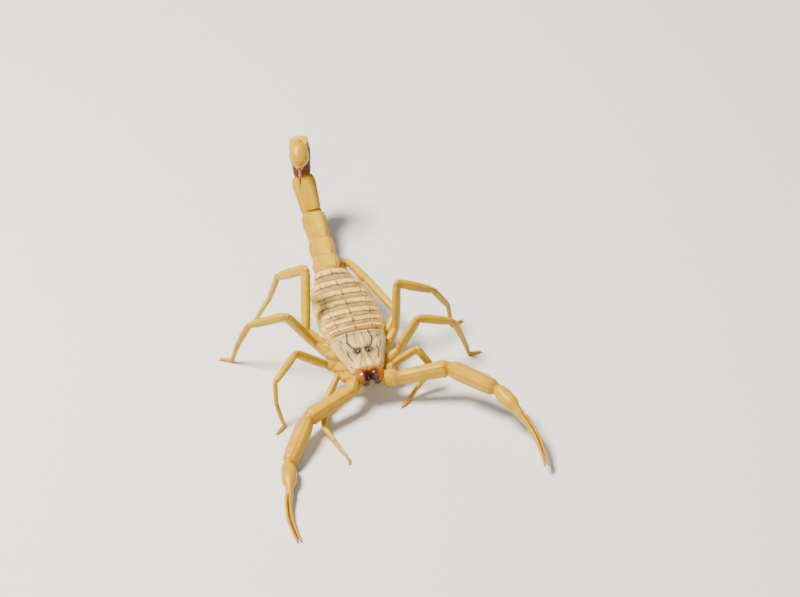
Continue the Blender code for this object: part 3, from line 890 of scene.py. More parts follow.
def build_tergite(number, rows):
    """A plate over one stretch of the trunk: its height steps down at the front and rolls up at the
    rear edge, plus keels and grains."""
    front, rear = rows[0, 0], rows[-1, 0]
    last = number == TERGITES
    share, turn, side_way = plate_plan(PLATE_GRID, PLATE_ARC)
    lap = 0.0 if number == 1 else PLATE_LAP
    bow = (0.2 * MM - EDGE_BOW * np.sin(turn) ** 2) * (not last)
    back = front - lap + share * (rear - front + lap + PLATE_OVERHANG + bow)
    points = trunk_surface(back, turn, trunk_rows)

    def span(start, length, end):
        """One between two shares of the way back, eased at both."""
        return ease((share - start) / length) * ease((end - share) / 0.06)

    keels = bell(side_way, 1.1) * span(0.28, 0.2, 0.97)
    for at, width in LAST_KEELS if last else MIDDLE_KEELS if number > 2 else FRONT_KEELS:
        slant = at + (8 if last else 3) * (share - 0.5)
        keels = np.maximum(keels, bell(side_way - slant, width) * span(0.22, 0.2, 0.96))
    rough = grains(points, 0.42, 10 + number) * span(0.2, 0.15, 0.99)
    fine = grains(points, 0.24, 30 + number) * ease((share - 0.1) / 0.15)
    height = (
        -0.26 + 0.30 * ease((share - 0.12) / 0.3) + 0.13 * bell(share - 0.95, 0.045)
        + 0.16 * keels * beads(back, 0.34 * MM, 0.3) + 0.075 * rough + 0.03 * fine
        + 0.035 * drift(points, 2.6, 60 + number)
    )
    inside = ease(share / 0.06) * ease((1 - share) / 0.03) * ease((79 - side_way) / 4)
    middle_third = 1 - ease((side_way - 44) / 22)
    wander = 0.04 * drift(points, 1.6, 80 + number)
    bands = 0.80 * bell(share - 0.56 + wander, 0.06) + 0.55 * bell(share - 0.16, 0.12)
    dark = (
        0.8 * keels**1.5 * (share < 0.93) + bands * middle_third
        + 0.35 * rough * ease((0.75 - share) / 0.1)
    )
    tint = tints_on(
        points,
        amber=0.35 * bell(share - 0.97, 0.02) * middle_third,
        # The dark strip along the very rear edge is painted shade: the shadow where this plate overlaps
        # the next.
        dark=np.maximum(dark, 0.85 * ease((share - 0.985) / 0.01) * middle_third),
        pale=np.maximum(ease((share - 0.60 + wander) / 0.12), 0.75 * (1 - middle_third)),
    )
    plate = closed_plate(points, height * inside + 0.02, (height - PLATE_THICKNESS) * inside, tint)
    make_piece(f"back_plate_{number}", [plate], back_paint, "back_plate", back_nodes[number - 1])


for number, rows in enumerate(plate_slices, start=1):
    build_tergite(number, rows)
tell("back_plate")

# %% [markdown]
# ## The head shield
# One plate covers the head. It carries two large eyes on a low hump, three tiny eyes at each front
# corner, granular keels that draw a lyre, and furrows between them. The relief is drawn as lines in
# the shield's own plan, where each point knows its distance to the nearest line.

# %% Draw lines on the shield
SHIELD_KEELS = (
    # corners as (across, back from the front edge) in millimetres, height, width and darkness
    (((0.55, 4.9), (0.50, 3.9), (0.62, 2.9), (1.5, 0.6)), 0.17, 0.20, 0.45),
    (((1.35, 4.9), (2.2, 5.9), (2.75, 7.4), (2.3, 9.6)), 0.20, 0.17, 1.0),
    (((2.75, 2.2), (3.3, 3.6), (3.2, 5.4)), 0.15, 0.16, 0.85),
    (((3.9, 5.2), (4.3, 6.8), (3.9, 8.4)), 0.14, 0.18, 0.50),
    (((0.85, 6.6), (0.95, 8.0), (0.8, 9.3)), 0.14, 0.15, 0.65),
)
SHIELD_FURROWS = (
    # corners, depth and width
    (((0.0, 5.3), (0.0, 9.6)), 0.17, 0.20),
    (((0.0, 0.3), (0.0, 3.0)), 0.16, 0.34),
    (((1.4, 5.4), (2.9, 7.6), (4.8, 8.3)), 0.20, 0.45),
    (((1.6, 3.2), (3.9, 4.6)), 0.14, 0.60),
    (((0.2, 8.9), (5.2, 9.0)), 0.12, 0.28),
)


def along_line(across, back, corners):
    """Distance of every point of a plan to a broken line, and how far along the line that is."""
    best, where = np.full(across.shape, np.inf), np.zeros(across.shape)
    travelled = 0.0
    corners = np.array(corners)
    for start, step in zip(corners, np.diff(corners, axis=0)):
        size = np.linalg.norm(step)
        share = ((across - start[0]) * step[0] + (back - start[1]) * step[1]) / size**2
        share = np.clip(share, 0, 1)
        away = np.hypot(across - start[0] - share * step[0], back - start[1] - share * step[1])
        where = np.where(away < best, travelled + share * size, where)
        best = np.minimum(best, away)
        travelled += size
    return best, where


print("keels:", len(SHIELD_KEELS), "furrows:", len(SHIELD_FURROWS))

# %% Forge the head shield
SHIELD_GRID, SHIELD_ARC = (205, 230), (-8, 188)
SHIELD_POWER = 2.5
SHIELD_THICKNESS = 0.30
NOTCH_DEPTH = 0.15 * MM


def build_shield():
    """The trunk's section over the head, with an eye hump, keels, furrows, grains and a rolled rim."""
    front = shield_low[1]
    share, turn, side_way = plate_plan(SHIELD_GRID, SHIELD_ARC)
    notch = NOTCH_DEPTH * bell(side_way, 16) * (1 - share) ** 3
    back = front + share * (shield_high[1] - front) + notch
    points = trunk_surface(back, turn, shield_slices, SHIELD_POWER)
    across = np.abs(points[..., 0] - body_middle[0]) / MM
    behind = (points[..., 1] - front) / MM

    def patch(at_across, at_behind, half_across, half_behind):
        """A soft oval spot in the shield's plan, on both sides of its middle."""
        return bell(np.hypot((across - at_across) / half_across, (behind - at_behind) / half_behind), 1)

    ridges, lines, hollows = (np.zeros(across.shape) for _ in range(3))
    for corners, tall, width, darkness in SHIELD_KEELS:
        away, where = along_line(across, behind, corners)
        ridge = bell(away, width) * beads(where, 0.30, 0.28, drift(points, 2, 4))
        ridges = np.maximum(ridges, ridge * tall)
        lines = np.maximum(lines, bell(away, 1.15 * width) * darkness)
    for corners, deep, width in SHIELD_FURROWS:
        hollows = np.maximum(hollows, bell(along_line(across, behind, corners)[0], width) * deep)
    hump, orbit = patch(0, 4.1, 0.85, 1.6), patch(1.05, 3.85, 0.55, 0.6)
    rim = bell(share - 0.975, 0.02) + bell(share - 0.02, 0.018) + bell(side_way - 91, 3.5)
    rough, fine = grains(points, 0.40, 5), grains(points, 0.22, 6)
    height = (
        0.30 * hump - 0.34 * orbit + ridges - hollows + 0.12 * rim
        + (0.07 * rough + 0.03 * fine) * (1 - 0.7 * patch(0, 1.2, 1.0, 1.1))
        + 0.04 * drift(points, 2.2, 8)
    )
    inside = ease(share / 0.012) * ease((1 - share) / 0.012) * ease((98 - side_way) / 3)
    tint = tints_on(
        points,
        amber=0.75 * ease((0.05 - share) / 0.04) * ease((70 - side_way) / 30),
        # Painted shade: the furrows darken with their depth, and a thin dark line follows the rear cross
        # furrow.
        dark=(
            lines + 1.92 * patch(1.2, 4.35, 0.85, 1.0) + 1.75 * hollows
            + 0.25 * rough * ease((behind - 2) / 3) + 0.55 * bell(share - 0.93, 0.012)
        ),
        pale=(
            0.8 * patch(0, 1.0, 2.2, 1.3) + 0.9 * ease((share - 0.95) / 0.03)
            + 0.5 * ease((side_way - 62) / 20)
        ),
    )
    shield = closed_plate(points, height * inside, -SHIELD_THICKNESS * inside, tint)
    make_piece("head_shield", [shield], shield_paint, "back_plate", "carapace")


build_shield()
tell("head_shield")

# %% [markdown]
# The big eyes are plain glossy balls, half sunk. Each front corner of the shield has a row of three
# more, a third of that size.

# %% Set the eyes
SMALL_EYE_RADIUS = 0.16 * MM
POLE_GAP = 0.04
eye_boxes = {label: node_box("eye_" + label) for label in SIDES}
EYE_RADIUS = 0.5 * (eye_boxes["left"][1] - eye_boxes["left"][0])[2]


def ball(place, radius, rows=24, around=32, stretch=(1, 1, 1), **tint):
    """A sphere as a grid: sine of the latitude times radius, around its own axis."""
    turns = np.arange(around) * 2 * math.pi / around
    lat, lon = np.meshgrid(np.linspace(POLE_GAP, math.pi - POLE_GAP, rows), turns, indexing="ij")
    unit_ball = np.stack([np.sin(lat) * np.cos(lon), np.sin(lat) * np.sin(lon), np.cos(lat)], axis=-1)
    points = place + unit_ball * radius * np.array(stretch)
    return closed_tube(points, tints_on(points, **tint))


for label, sign in SIDES.items():
    big = ball(0.5 * sum(eye_boxes[label]), EYE_RADIUS)
    make_piece(f"big_eye_{label}", [big], eye_paint, "eye", f"eye_{label}")
    small = []
    for step in range(3):
        back = shield_low[1] + (0.35 + 0.42 * step) * MM
        turn = math.radians(90 - sign * (50 + 6 * step))
        place = trunk_surface(back, turn, shield_slices, SHIELD_POWER)
        small.append(ball(place, SMALL_EYE_RADIUS, 10, 14))
    make_piece(f"small_eyes_{label}", small, eye_paint, "eye")
tell("big_eye")
tell("small_eyes")

# %% [markdown]
# ## The jaws
# Two short stout pincers stick out under the front edge of the shield. Each hand is a smooth orange
# bulb, and its two fingers are nearly black, hooked, and folded in front of the mouth.

# %% Build the jaws
JAW_LENGTH, JAW_WIDTH, JAW_HEIGHT = 0.86, 1.26, 1.10
JAW_INWARD, JAW_BACK, JAW_UP = 0.14 * MM, 0.35 * MM, 0.42 * MM
JAW_TIP = (0.1, 1.0, 0.0)


def build_jaw(label, sign):
    """A bulb with painted shade where the jaws meet at the mouth, and two hooked fingers folded under it.
    """
    node = f"chelicera_{label}"
    centres, wide, high = sections(rings_of(node, body_middle), X_AXIS, Z_AXIS, 2.4)
    inward = -sign * X_AXIS
    shift = inward * JAW_INWARD + Y_AXIS * JAW_BACK + Z_AXIS * JAW_UP
    centres = centres[0] + JAW_LENGTH * (centres - centres[0]) + shift
    wide, high = wide[:5] * JAW_WIDTH, high[:5] * JAW_HEIGHT
    tube = Tube(centres[:5], wide, high, X_AXIS, mm(0.6, 0.35), 70, 72, 2.1)
    tube.lift(0.04 * drift(tube.points, 1.5, 21) + 0.02 * grains(tube.points, 0.3, 22))
    off_middle = np.abs(tube.points[..., 0] - body_middle[0]) / MM
    # Painted shade: the inner parts of both jaws, where they meet in front of the mouth, are darkened.
    mouth_gap_shade = ease((tube.share - 0.28) / 0.3) * ease((1.75 - off_middle) / 0.9)
    tube.stain(
        amber=ease((tube.share - 0.15) / 0.3) * ease((2.4 - off_middle) / 1.1),
        dark=np.maximum(mouth_gap_shade, ease((tube.share - 0.9) / 0.1)),
        pale=0.8 * (1 - ease(tube.share / 0.35)),
    )
    front = centres[3]
    roots = [front + (inward * 0.30 + Z_AXIS * 0.05) * MM, front - (inward * 0.25 + Z_AXIS * 0.1) * MM]
    ahead = [-Y_AXIS - 0.5 * Z_AXIS + 0.1 * inward, -Y_AXIS - 0.7 * Z_AXIS]
    behind = [0.5 * inward - Z_AXIS, 0.9 * inward - Z_AXIS + 0.3 * Y_AXIS]
    fingers = horns(roots, ahead, behind, (1.15, 1.25), (0.40, 0.44), 18, 16, JAW_TIP, 0.6)
    teeth_at = [roots[0] + (ahead[0] * k + inward * 0.18) * MM for k in (0.35, 0.6, 0.85)]
    teeth = horns(teeth_at, inward - 0.4 * Z_AXIS, inward - Z_AXIS, 0.30, 0.12, 6, 4, JAW_TIP)
    make_piece(f"jaw_{label}", [tube.closed(), fingers, teeth], jaw_paint, "chelicera", node)
    hairs = bristles_on(tube, 46, 0.6, 23, 0.9, 0.016)
    make_piece(f"jaw_bristles_{label}", [hairs], bristle_paint, "membrane")


for label, sign in SIDES.items():
    build_jaw(label, sign)
tell("jaw_")

# %% [markdown]
# ## Legs
# Each leg has a hip knuckle, a long flattened femur and patella, a slim tibia, and a foot of two
# short joints that ends in two hooked claws. The skin at the bends shows as an amber ball. A leg
# could be one bent tube, but its shell is six hard sleeves, and the seams are what reads as a leg.

# %% Shape the sleeves, the feet and the claws
LEG_POWER, LEG_AROUND, LEG_SWELL = 2.2, 40, 1.02
LEG_BEAD = 0.26
LEAST_FOOT_GAP = 0.6 * MM
# One small dark mark sits on the second left leg's femur: leg and sleeve, place and width.
MARKED_SLEEVE, MARK_AT, MARK_WIDTH = ("left", 2, 1), 1.9, 0.42
LEG_HAIR, FOOT_HAIR = 0.75, 0.525
LEG_PLAN = (
    # solid, which of its rings, caps as shares of the half depth, keels, rows of the grid, bristles
    ("femur", slice(0, 3), (0.6, 0.8), (60, 120), 34, 4),
    ("femur", slice(2, 7), (0.8, 0.9), (52, 128, -52, -128), 60, 10),
    ("patella", slice(0, 5), (0.8, 0.8), (50, 130, -60, -120, 0, 180), 60, 14),
    ("tibia", slice(0, 4), (0.8, 0.8), (-60, -120), 34, 16),
    ("foot", slice(0, 4), (0.8, 0.8), (), 34, 20),
    ("foot", slice(3, 7), (0.8, 0.9), (), 34, 22),
)


def limb_tube(rings, side, up, caps, rows, around, power, swell=1.0):
    """A tube through a limb's rings, with both half sizes times a swell."""
    centres, wide, high = sections(rings, side, up, power)
    return Tube(centres, wide * swell, high * swell, side, caps, rows, around, power)


def leg_relief(tube, seed, keels):
    """Fine beaded keels at given angles, a little waviness and a fine grain."""
    ridge = sum(keel(tube.turn, at, 9) for at in keels) * tube.inner(1.0)
    height = 0.075 * ridge * beads(tube.from_root, LEG_BEAD, 0.35) + 0.018 * drift(tube.points, 1.8, seed)
    tube.lift(height + 0.014 * grains(tube.points, 0.2, seed + 1))
    tube.stain(
        amber=0.65 * bell(tube.to_tip, 0.28) + 0.35 * bell(tube.from_root, 0.35),
        dark=0.22 * ridge, pale=0.35 * tube.inner(1.5),
    )


def whole_foot(shin_end, rings):
    """A foot lying flat on the floor loses its first ring and reads too wide after it, so copies of the
    shin's last ring, a little smaller at each step, stand in for all of them."""
    gap = middle(rings[0]) - middle(shin_end)
    if np.linalg.norm(gap) < LEAST_FOOT_GAP:
        return rings
    spokes = shin_end - middle(shin_end)
    copies = [middle(ring) + spokes * (0.96 - 0.07 * step) for step, ring in enumerate(rings)]
    return [shin_end + 0.15 * gap] + copies[1:]


def claws_and_spurs(joints, along, side):
    """Two claws at the toe that rise and hook down, and two short spurs under the ankle's bend."""
    rise = 0.55 * Z_AXIS
    claws = horns(
        [joints[6] + side * 0.14 * MM, joints[6] - side * 0.14 * MM],
        [along + side * 0.5 + rise, along - side * 0.5 + rise],
        [along + side * 0.3 - 0.75 * Z_AXIS, along - side * 0.3 - 0.75 * Z_AXIS],
        0.95, 0.11, 10, 9, (0.9, 0.35, 0), 0.7
    )
    spur_root = joints[5] - 0.1 * MM * Z_AXIS
    heads = [side - along * 0.2, -side - along * 0.2]
    spurs = horns([spur_root] * 2, heads, [side, -side], 0.55, 0.07, 6, 5, (0.8, 0.2, 0))
    return [off_the_floor(claws), off_the_floor(spurs)]


print("sleeves of a leg:", len(LEG_PLAN), "bristles of a leg:", sum(row[-1] for row in LEG_PLAN))

# %% Build the walking legs
def build_leg(label, number, sign):
    """Six sleeves on four solids, claws and spurs on the foot, and bristles that thicken towards it."""
    stem = f"leg_{label}_{number}_"
    joints = legs[label, number]
    alongs, sides, ups = frames_along(joints)
    stacks = dict(zip(LEG_PARTS, stacks_of([stem + part for part in LEG_PARTS])))
    stacks["foot"] = whole_foot(stacks["tibia"][-1], stacks["foot"])
    shells = {part: [] for part in LEG_PARTS}
    hairs = []
    for k, (part, pick, shares, keels, grid_rows, count) in enumerate(LEG_PLAN):
        rings = stacks[part][pick]
        caps = [
            cap * sections([ring], sides[k], ups[k], LEG_POWER)[2][0]
            for cap, ring in zip(shares, (rings[0], rings[-1]))
        ]
        tube = limb_tube(rings, sides[k], ups[k], caps, grid_rows, LEG_AROUND, LEG_POWER, LEG_SWELL)
        seed = 100 * number + 10 * k + (5 if sign > 0 else 0)
        leg_relief(tube, seed, keels)
        if (label, number, k) == MARKED_SLEEVE:
            tube.stain(dark=bell(tube.from_root - MARK_AT, MARK_WIDTH) * keel(tube.turn, 90, 34))
        if part == "foot":
            tube.points[..., 2] = np.maximum(tube.points[..., 2], 0.0)
            tube.stain(amber=0.25 + 0.35 * (k == 5) * tube.share)
        shells[part].append(tube.closed())
        length = FOOT_HAIR if part == "foot" else LEG_HAIR
        hairs.append(off_the_floor(bristles_on(tube, count, length, seed + 7)))
    shells["foot"] += claws_and_spurs(joints, alongs[5], sides[5])
    for part, surfaces in shells.items():
        make_piece(stem + part + "_shell", surfaces, limb_paint, "limb", stem + part)
    make_piece(stem + "bristles", hairs, bristle_paint, "limb")


for label, sign in SIDES.items():
    for number in LEG_NUMBERS:
        build_leg(label, number, sign)
tell("leg_")

# %% [markdown]
# ## Pincer arms
# An arm has a knobbly shoulder, a keeled upper arm and forearm, and a slim smooth hand with two long
# fingers that nearly close. Their facing edges carry rows of tiny dark teeth.

# %% Shape the relief of an arm and its teeth
PALP_POWER, HAND_POWER = 2.5, 2.2
PALP_AROUND = 72
FINGER_TEETH = 46
SHOULDER_KEELS, UPPER_KEELS = (70, 110, -60, 0, 180), (48, 132, -48, -132, 180)
FOREARM_KEELS, HAND_KEELS = (20, 62, 100, 140, 180, -50, -130, -20), (50, 100, 150)


def arm_relief(tube, keels, tall, spacing, seed, tone):
    """Keels broken into beads that wander a little, with amber around them, on a slow swell."""
    ridge = sum(keel(tube.turn, at, 6.5) for at in keels) * tube.inner(0.7)
    broken = ridge * beads(tube.from_root, spacing, 0.28, 1.6 * drift(tube.points, 1.5, seed + 3))
    height = tall * broken + 0.03 * drift(tube.points, 2.4, seed)
    tube.lift(height + 0.02 * grains(tube.points, 0.26, seed + 1))
    tube.stain(
        amber=1.2 * tone * sum(keel(tube.turn, at, 13) for at in keels),
        dark=tone * ridge, pale=0.3 * tube.inner(1.5),
    )
    return tube


def finger_teeth(tube, face):
    """Short dark cones along the side of a finger that faces the other one."""
    rows = np.searchsorted(tube.line, np.linspace(0.12, 0.96, FINGER_TEETH) * tube.length)
    roots = tube.centres[rows] + face * (tube.wide[rows] * 0.93)[:, None]
    return horns(roots, face, face + tube.along[rows] * 0.4, 0.20, 0.085, 5, 2, (0.2, 0.95, 0))


print("keels of a forearm:", len(FOREARM_KEELS), "teeth of a finger:", FINGER_TEETH)

# %% Build the pincer arms
FINGER_SWELL = (1.28, 0.95)
KNUCKLE_WIDE, KNUCKLE_HIGH, KNUCKLE_CORNERS = 0.80 * MM, 0.72 * MM, 16


def build_palp(label, sign):
    """Shoulder, upper arm, forearm and hand as keeled tubes, then the two toothed fingers."""
    stem = f"pincer_{label}_"
    joints = palps[label]
    _, sides, ups = frames_along(joints)
    stacks = dict(zip(PALP_PARTS, stacks_of([stem + part for part in PALP_PARTS])))
    finger_rings = rings_of(stem + "finger", joints[3])

    def arm_tube(rings, k, caps, rows, power, swell=1.02):
        """A tube through some rings, in the frame of one stretch of the arm."""
        return limb_tube(rings, sides[k], ups[k], caps, rows, PALP_AROUND, power, swell)

    shoulder = arm_tube(stacks["femur"][0:4], 0, mm(0.9, 0.9), 40, PALP_POWER)
    arm_relief(shoulder, SHOULDER_KEELS, 0.16, 0.42, 300, 0.2)
    shoulder.lift(0.16 * grains(shoulder.points, 0.75, 310) * shoulder.inner(0.4))
    shoulder.stain(amber=0.4 * ease((shoulder.share - 0.6) / 0.4))
    upper = arm_tube(stacks["femur"][3:8], 1, mm(0.9, 1.1), 120, PALP_POWER)
    arm_relief(upper, UPPER_KEELS, 0.12, 0.33, 320, 0.34)
    forearm = arm_tube(stacks["patella"], 2, mm(1.0, 0.9), 130, PALP_POWER)
    arm_relief(forearm, FOREARM_KEELS, 0.12, 0.40, 330, 0.28)
    for tube, slim, strong in ((upper, 0.07, 0.9), (forearm, 0.14, 0.75)):
        tube.lift(0.14 * bell(tube.share - 0.92, 0.06) - slim * bell(tube.share - 0.5, 0.28))
        tube.stain(amber=strong * bell(tube.to_tip, 0.5) + 0.4 * bell(tube.from_root, 0.35))
    forearm.stain(amber=0.55 * ease((forearm.share - 0.65) / 0.35))
    make_piece(
        stem + "femur_shell", [shoulder.closed(), upper.closed()], limb_paint, "limb", stem + "femur"
    )
    make_piece(stem + "patella_shell", [forearm.closed()], limb_paint, "limb", stem + "patella")

    # The hand narrows over its knuckle until it is as wide as both fingers side by side.
    turn = np.linspace(0, 2 * math.pi, KNUCKLE_CORNERS + 1)[:-1, None]
    knuckle = 0.5 * (middle(stacks["hand"][5]) + middle(finger_rings[0]))
    oval = KNUCKLE_WIDE * sides[4] * np.cos(turn) + KNUCKLE_HIGH * ups[4] * np.sin(turn)
    hand_rings = stacks["hand"][0:5] + [knuckle + oval]
    hand = arm_tube(hand_rings, 3, mm(0.8, 0.7), 110, HAND_POWER, 0.97)
    arm_relief(hand, HAND_KEELS, 0.03, 5, 340, 0.10)
    hand.stain(amber=0.7 * bell(hand.from_root, 0.5) + 0.25 * hand.share)
    hairs = []
    outward = sides[4] if sides[4][0] * sign > 0 else -sides[4]
    for part, rings, facing in (("hand", stacks["hand"][5:], 1), ("finger", finger_rings, -1)):
        centres, wide, high = sections(rings, sides[4], ups[4], HAND_POWER)
        swell = np.linspace(*FINGER_SWELL, len(wide))
        tube = Tube(centres, wide * swell, high * swell, sides[4], mm(1, 0.5), 130, 40, HAND_POWER)
        tube.lift(0.02 * drift(tube.points, 2.0, 350 + facing))
        # Painted shade: the sides of the two fingers that face each other are darkened, in the gap
        # between them.
        inner_face = tube.normals() @ outward * facing
        tube.stain(
            amber=0.12 + 0.30 * tube.share + 0.15 * bell(tube.from_root, 0.8),
            dark=0.35 * ease((inner_face - 0.2) / 0.5),
        )
        surfaces = [tube.closed(), finger_teeth(tube, outward * facing)]
        surfaces += [hand.closed()] if part == "hand" else []
        make_piece(stem + part + "_shell", surfaces, limb_paint, "limb", stem + part)
        hairs.append(bristles_on(tube, 26, 0.6, 360 + facing, 0.6))
    for seed, (tube, count, length) in enumerate(
        ((upper, 26, 0.9), (forearm, 30, 0.9), (hand, 22, 0.9), (shoulder, 10, 0.8)), start=371
    ):
        hairs.append(bristles_on(tube, count, length, seed))
    make_piece(stem + "bristles", hairs, bristle_paint, "limb")


for label, sign in SIDES.items():
    build_palp(label, sign)
tell("pincer_")

# %% [markdown]
# ## The tail
# Five stout joints, each with beaded keels at its corners and a shallow trough along its back. Every
# joint's narrow neck sits in the flared collar of the one before, with amber skin between them.

# %% Shape one joint of the tail
TAIL_POWER = 2.7
TAIL_KEELS, SIDE_KEELS = (28, 56, 124, 152, -38, -68, -112, -142), (0, 180)
TAIL_ROWS, TAIL_AROUND = 130, 128
TAIL_CAPS = mm(1.1, 0.45)
LAST_JOINT = 4
BACK = 90


def tail_relief(tube, k):
    """Beaded keels, a trough along the back, a narrow neck, a fuller far half and a flared collar."""
    ridge = sum(keel(tube.turn, at, 5) for at in TAIL_KEELS + (SIDE_KEELS if k < 2 else ()))
    trough = keel(tube.turn, BACK, 19)
    height = (
        0.17 * ridge * beads(tube.from_root, 0.40, 0.35) - 0.30 * trough
        + 0.05 * drift(tube.points, 3, 400 + k)
        + 0.035 * grains(tube.points, 0.34, 410 + k) * (1 - 0.6 * trough)
        - 0.24 * bell(tube.share - 0.10, 0.12) + 0.12 * bell(tube.share - 0.80, 0.18)
    )
    inside = ease(tube.from_root - 0.2) * ease((tube.to_tip + 0.3) / 0.5)
    collar = bell(tube.to_tip, 0.30) * (0.8 + 0.2 * np.cos(tube.turn * 26))
    tube.lift(height * inside + 0.10 * collar)
    tube.stain(
        amber=0.75 * bell(tube.to_tip - 0.1, 0.35) + 0.35 * bell(tube.from_root, 0.5),
        dark=0.24 * ridge * inside,
    )
    if k < LAST_JOINT:
        degrees = np.degrees(tube.turn)
        # Painted shade: amber along the upper sides beside the back of every joint but the last.
        tube.stain(
            amber=0.30 * ease((np.abs(degrees - BACK) - 40) / 40) * (degrees < 180),
            pale=0.75 * keel(tube.turn, BACK, 24) * inside,
        )
    else:
        # On the last joint the amber band near its root is a painted glow of light shining through the
        # shell; the far end turns pale.
        tube.stain(amber=0.95 * bell(tube.from_root - 1.0, 0.55), pale=ease((tube.share - 0.86) / 0.08))


def crown_lobe(sign, along, side, up):
    """A pale grainy knob at one side of the last joint's end."""
    place = tail[-1] + (side * sign * 1.55 - along * 0.15 - up * 0.3) * MM
    points, faces, tints = ball(place, 0.75 * MM, 28, 32, (0.8, 1.1, 0.9), pale=1.0)
    height = 0.16 * grains(points, 0.5, 430 + sign)
    return points + unit(points - place) * (height * MM)[:, None], faces, tints


print("keels of a tail joint:", len(TAIL_KEELS), "and at first also", len(SIDE_KEELS))

# %% Build the tail
def build_tail():
    """Each joint is a tube with its relief, and a ball of amber skin that fills the bend before it."""
    alongs, sides, ups = frames_along(tail)
    for k, (node, rings) in enumerate(zip(TAIL_NODES, stacks_of(TAIL_NODES))):
        tube = limb_tube(rings, sides[k], ups[k], TAIL_CAPS, TAIL_ROWS, TAIL_AROUND, TAIL_POWER, 1.02)
        tail_relief(tube, k)
        bend = ball(tail[k], 0.80 * min(tube.wide[0], tube.high[0]), 20, 24, amber=0.85)
        # The last joint's dark finish is partly its own colour and partly painted shadow cast by the
        # bulb.
        finish = (dark_and_shaded_tail_paint, "dark_tail") if k == LAST_JOINT else (limb_paint, "limb")
        if k == LAST_JOINT:
            lobes = [crown_lobe(sign, alongs[k], sides[k], ups[k]) for sign in (-1, 1)]
            make_piece("tail_crown", lobes, limb_paint, "limb")
        make_piece(node + "_shell", [tube.closed(), bend], *finish, node)
        make_piece(node + "_bristles", [bristles_on(tube, 24, 1.0, 440 + k)], bristle_paint, "limb")


build_tail()
tell("tail_")

# %% [markdown]
# The bulb is a smooth yellow pear and the sting a long horn that turns from amber to black. The sting
# bends forwards, away from the animal's back.

# %% Build the bulb and the sting
STING_THICK, STING_TAPER = 0.66, 0.30


def build_telson():
    """The bulb swells before its end and is grainy below; the sting keeps its solid's middle line."""
    ahead = unit(middle(bulb_rings[-1]) - middle(bulb_rings[0]))
    side = unit(np.cross(Z_AXIS, ahead))
    centres, wide, high = sections(bulb_rings, side, np.cross(side, ahead), 2.0)
    along = np.linspace(0, 1, len(wide))
    fuller = 1.03 + 0.26 * bell(along - 0.84, 0.22) - 0.05 * bell(along, 0.2)
    bulb = Tube(centres, wide * fuller, high * fuller, side, mm(0.8, 0.6), 90, 96, 2.0)
    below = keel(bulb.turn, -90, 60)
    bulb.lift(0.05 * drift(bulb.points, 2.5, 500) + 0.07 * grains(bulb.points, 0.5, 501) * below)
    bulb.stain(
        amber=0.5 * ease((bulb.share - 0.8) / 0.2) + 0.35 * below + 0.5 * bell(bulb.from_root, 0.5),
        pale=0.35 * (1 - below),
    )
    make_piece("telson_bulb_shell", [bulb.closed()], bulb_paint, "limb", "telson_bulb")
    make_piece("telson_bristles", [bristles_on(bulb, 30, 0.9, 502)], bristle_paint, "limb")
    centres, wide, _ = sections(sting_rings, side, Z_AXIS, 2.0)
    radius = wide * (STING_THICK - STING_TAPER * np.linspace(0, 1, len(wide)))
    sting = Tube(centres, radius, radius, side, mm(0.5, 0.7), 70, 28, 2.0)
    sting.stain(amber=1 - ease(sting.share / 0.35), dark=ease((sting.share - 0.25) / 0.4))
    make_piece("telson_sting_shell", [sting.closed()], sting_paint, "sting", "telson_sting")


build_telson()
tell("telson_")

# %% [markdown]
# ## The underside
# Below, the bases of the legs lean together around a small breastbone. Hardly anybody turns a museum
# model over, but the bases also show from the side, so they are simple ridged tubes.

# %% Build the leg bases and the breast
COXA_WIDE, COXA_HIGH = mm(0.55, 0.95, 1.2, 1.3, 1.15), mm(0.7, 0.95, 1.1, 1.15, 1.0)
ARM_WIDE, ARM_HIGH = mm(0.8, 1.25, 1.5, 1.45, 1.2), mm(0.8, 1.1, 1.4, 1.4, 1.2)
BREAST_LINE = ((0, 3.0, 1.0), (0, 6.0, 0.7), (0, 9.0, 0.6), (0, 12.0, 0.8))
BREAST_WIDE, BREAST_HIGH = mm(0.8, 1.3, 1.9, 2.2), mm(0.5, 0.6, 0.6, 0.5)
plate_low, plate_high = node_box("coxal_plate")
coxa_height = 0.5 * (plate_high[2] - plate_low[2])


def belly_point(across, back, up):
    """A place from the middle of the leg-base plate's front edge, across and up in metres."""
    return np.array([body_middle[0] + across, plate_low[1] + back, plate_low[2] + up])


def straight(start, end):
    """Five points in a row from one place to another."""
    return start + np.linspace(0, 1, 5)[:, None] * (end - start)


def leg_base(label, number, sign):
    """A ridged tube from beside the breastbone out to the hip."""
    hip = legs[label, number][0]
    back = max(hip[1] + (0.4 - 0.9 * number) * MM - plate_low[1], (1.2 + 1.6 * number) * MM)
    inner = belly_point(sign * 0.9 * MM, back, coxa_height)
    way = unit(hip - inner)
    side = unit(np.cross(way, Z_AXIS))
    line = straight(inner, hip + way * 0.3 * MM)
    tube = Tube(line, COXA_WIDE, COXA_HIGH, side, mm(0.5, 0.7), 50, 48, 2.4)
    ridge = sum(keel(tube.turn, at, 8) for at in (-50, -130, 60)) * tube.inner(0.6)
    tube.lift(0.08 * ridge + 0.03 * grains(tube.points, 0.3, 600 + number))
    tube.stain(amber=0.6 * bell(tube.to_tip, 0.4), pale=0.4)
    return tube.closed()


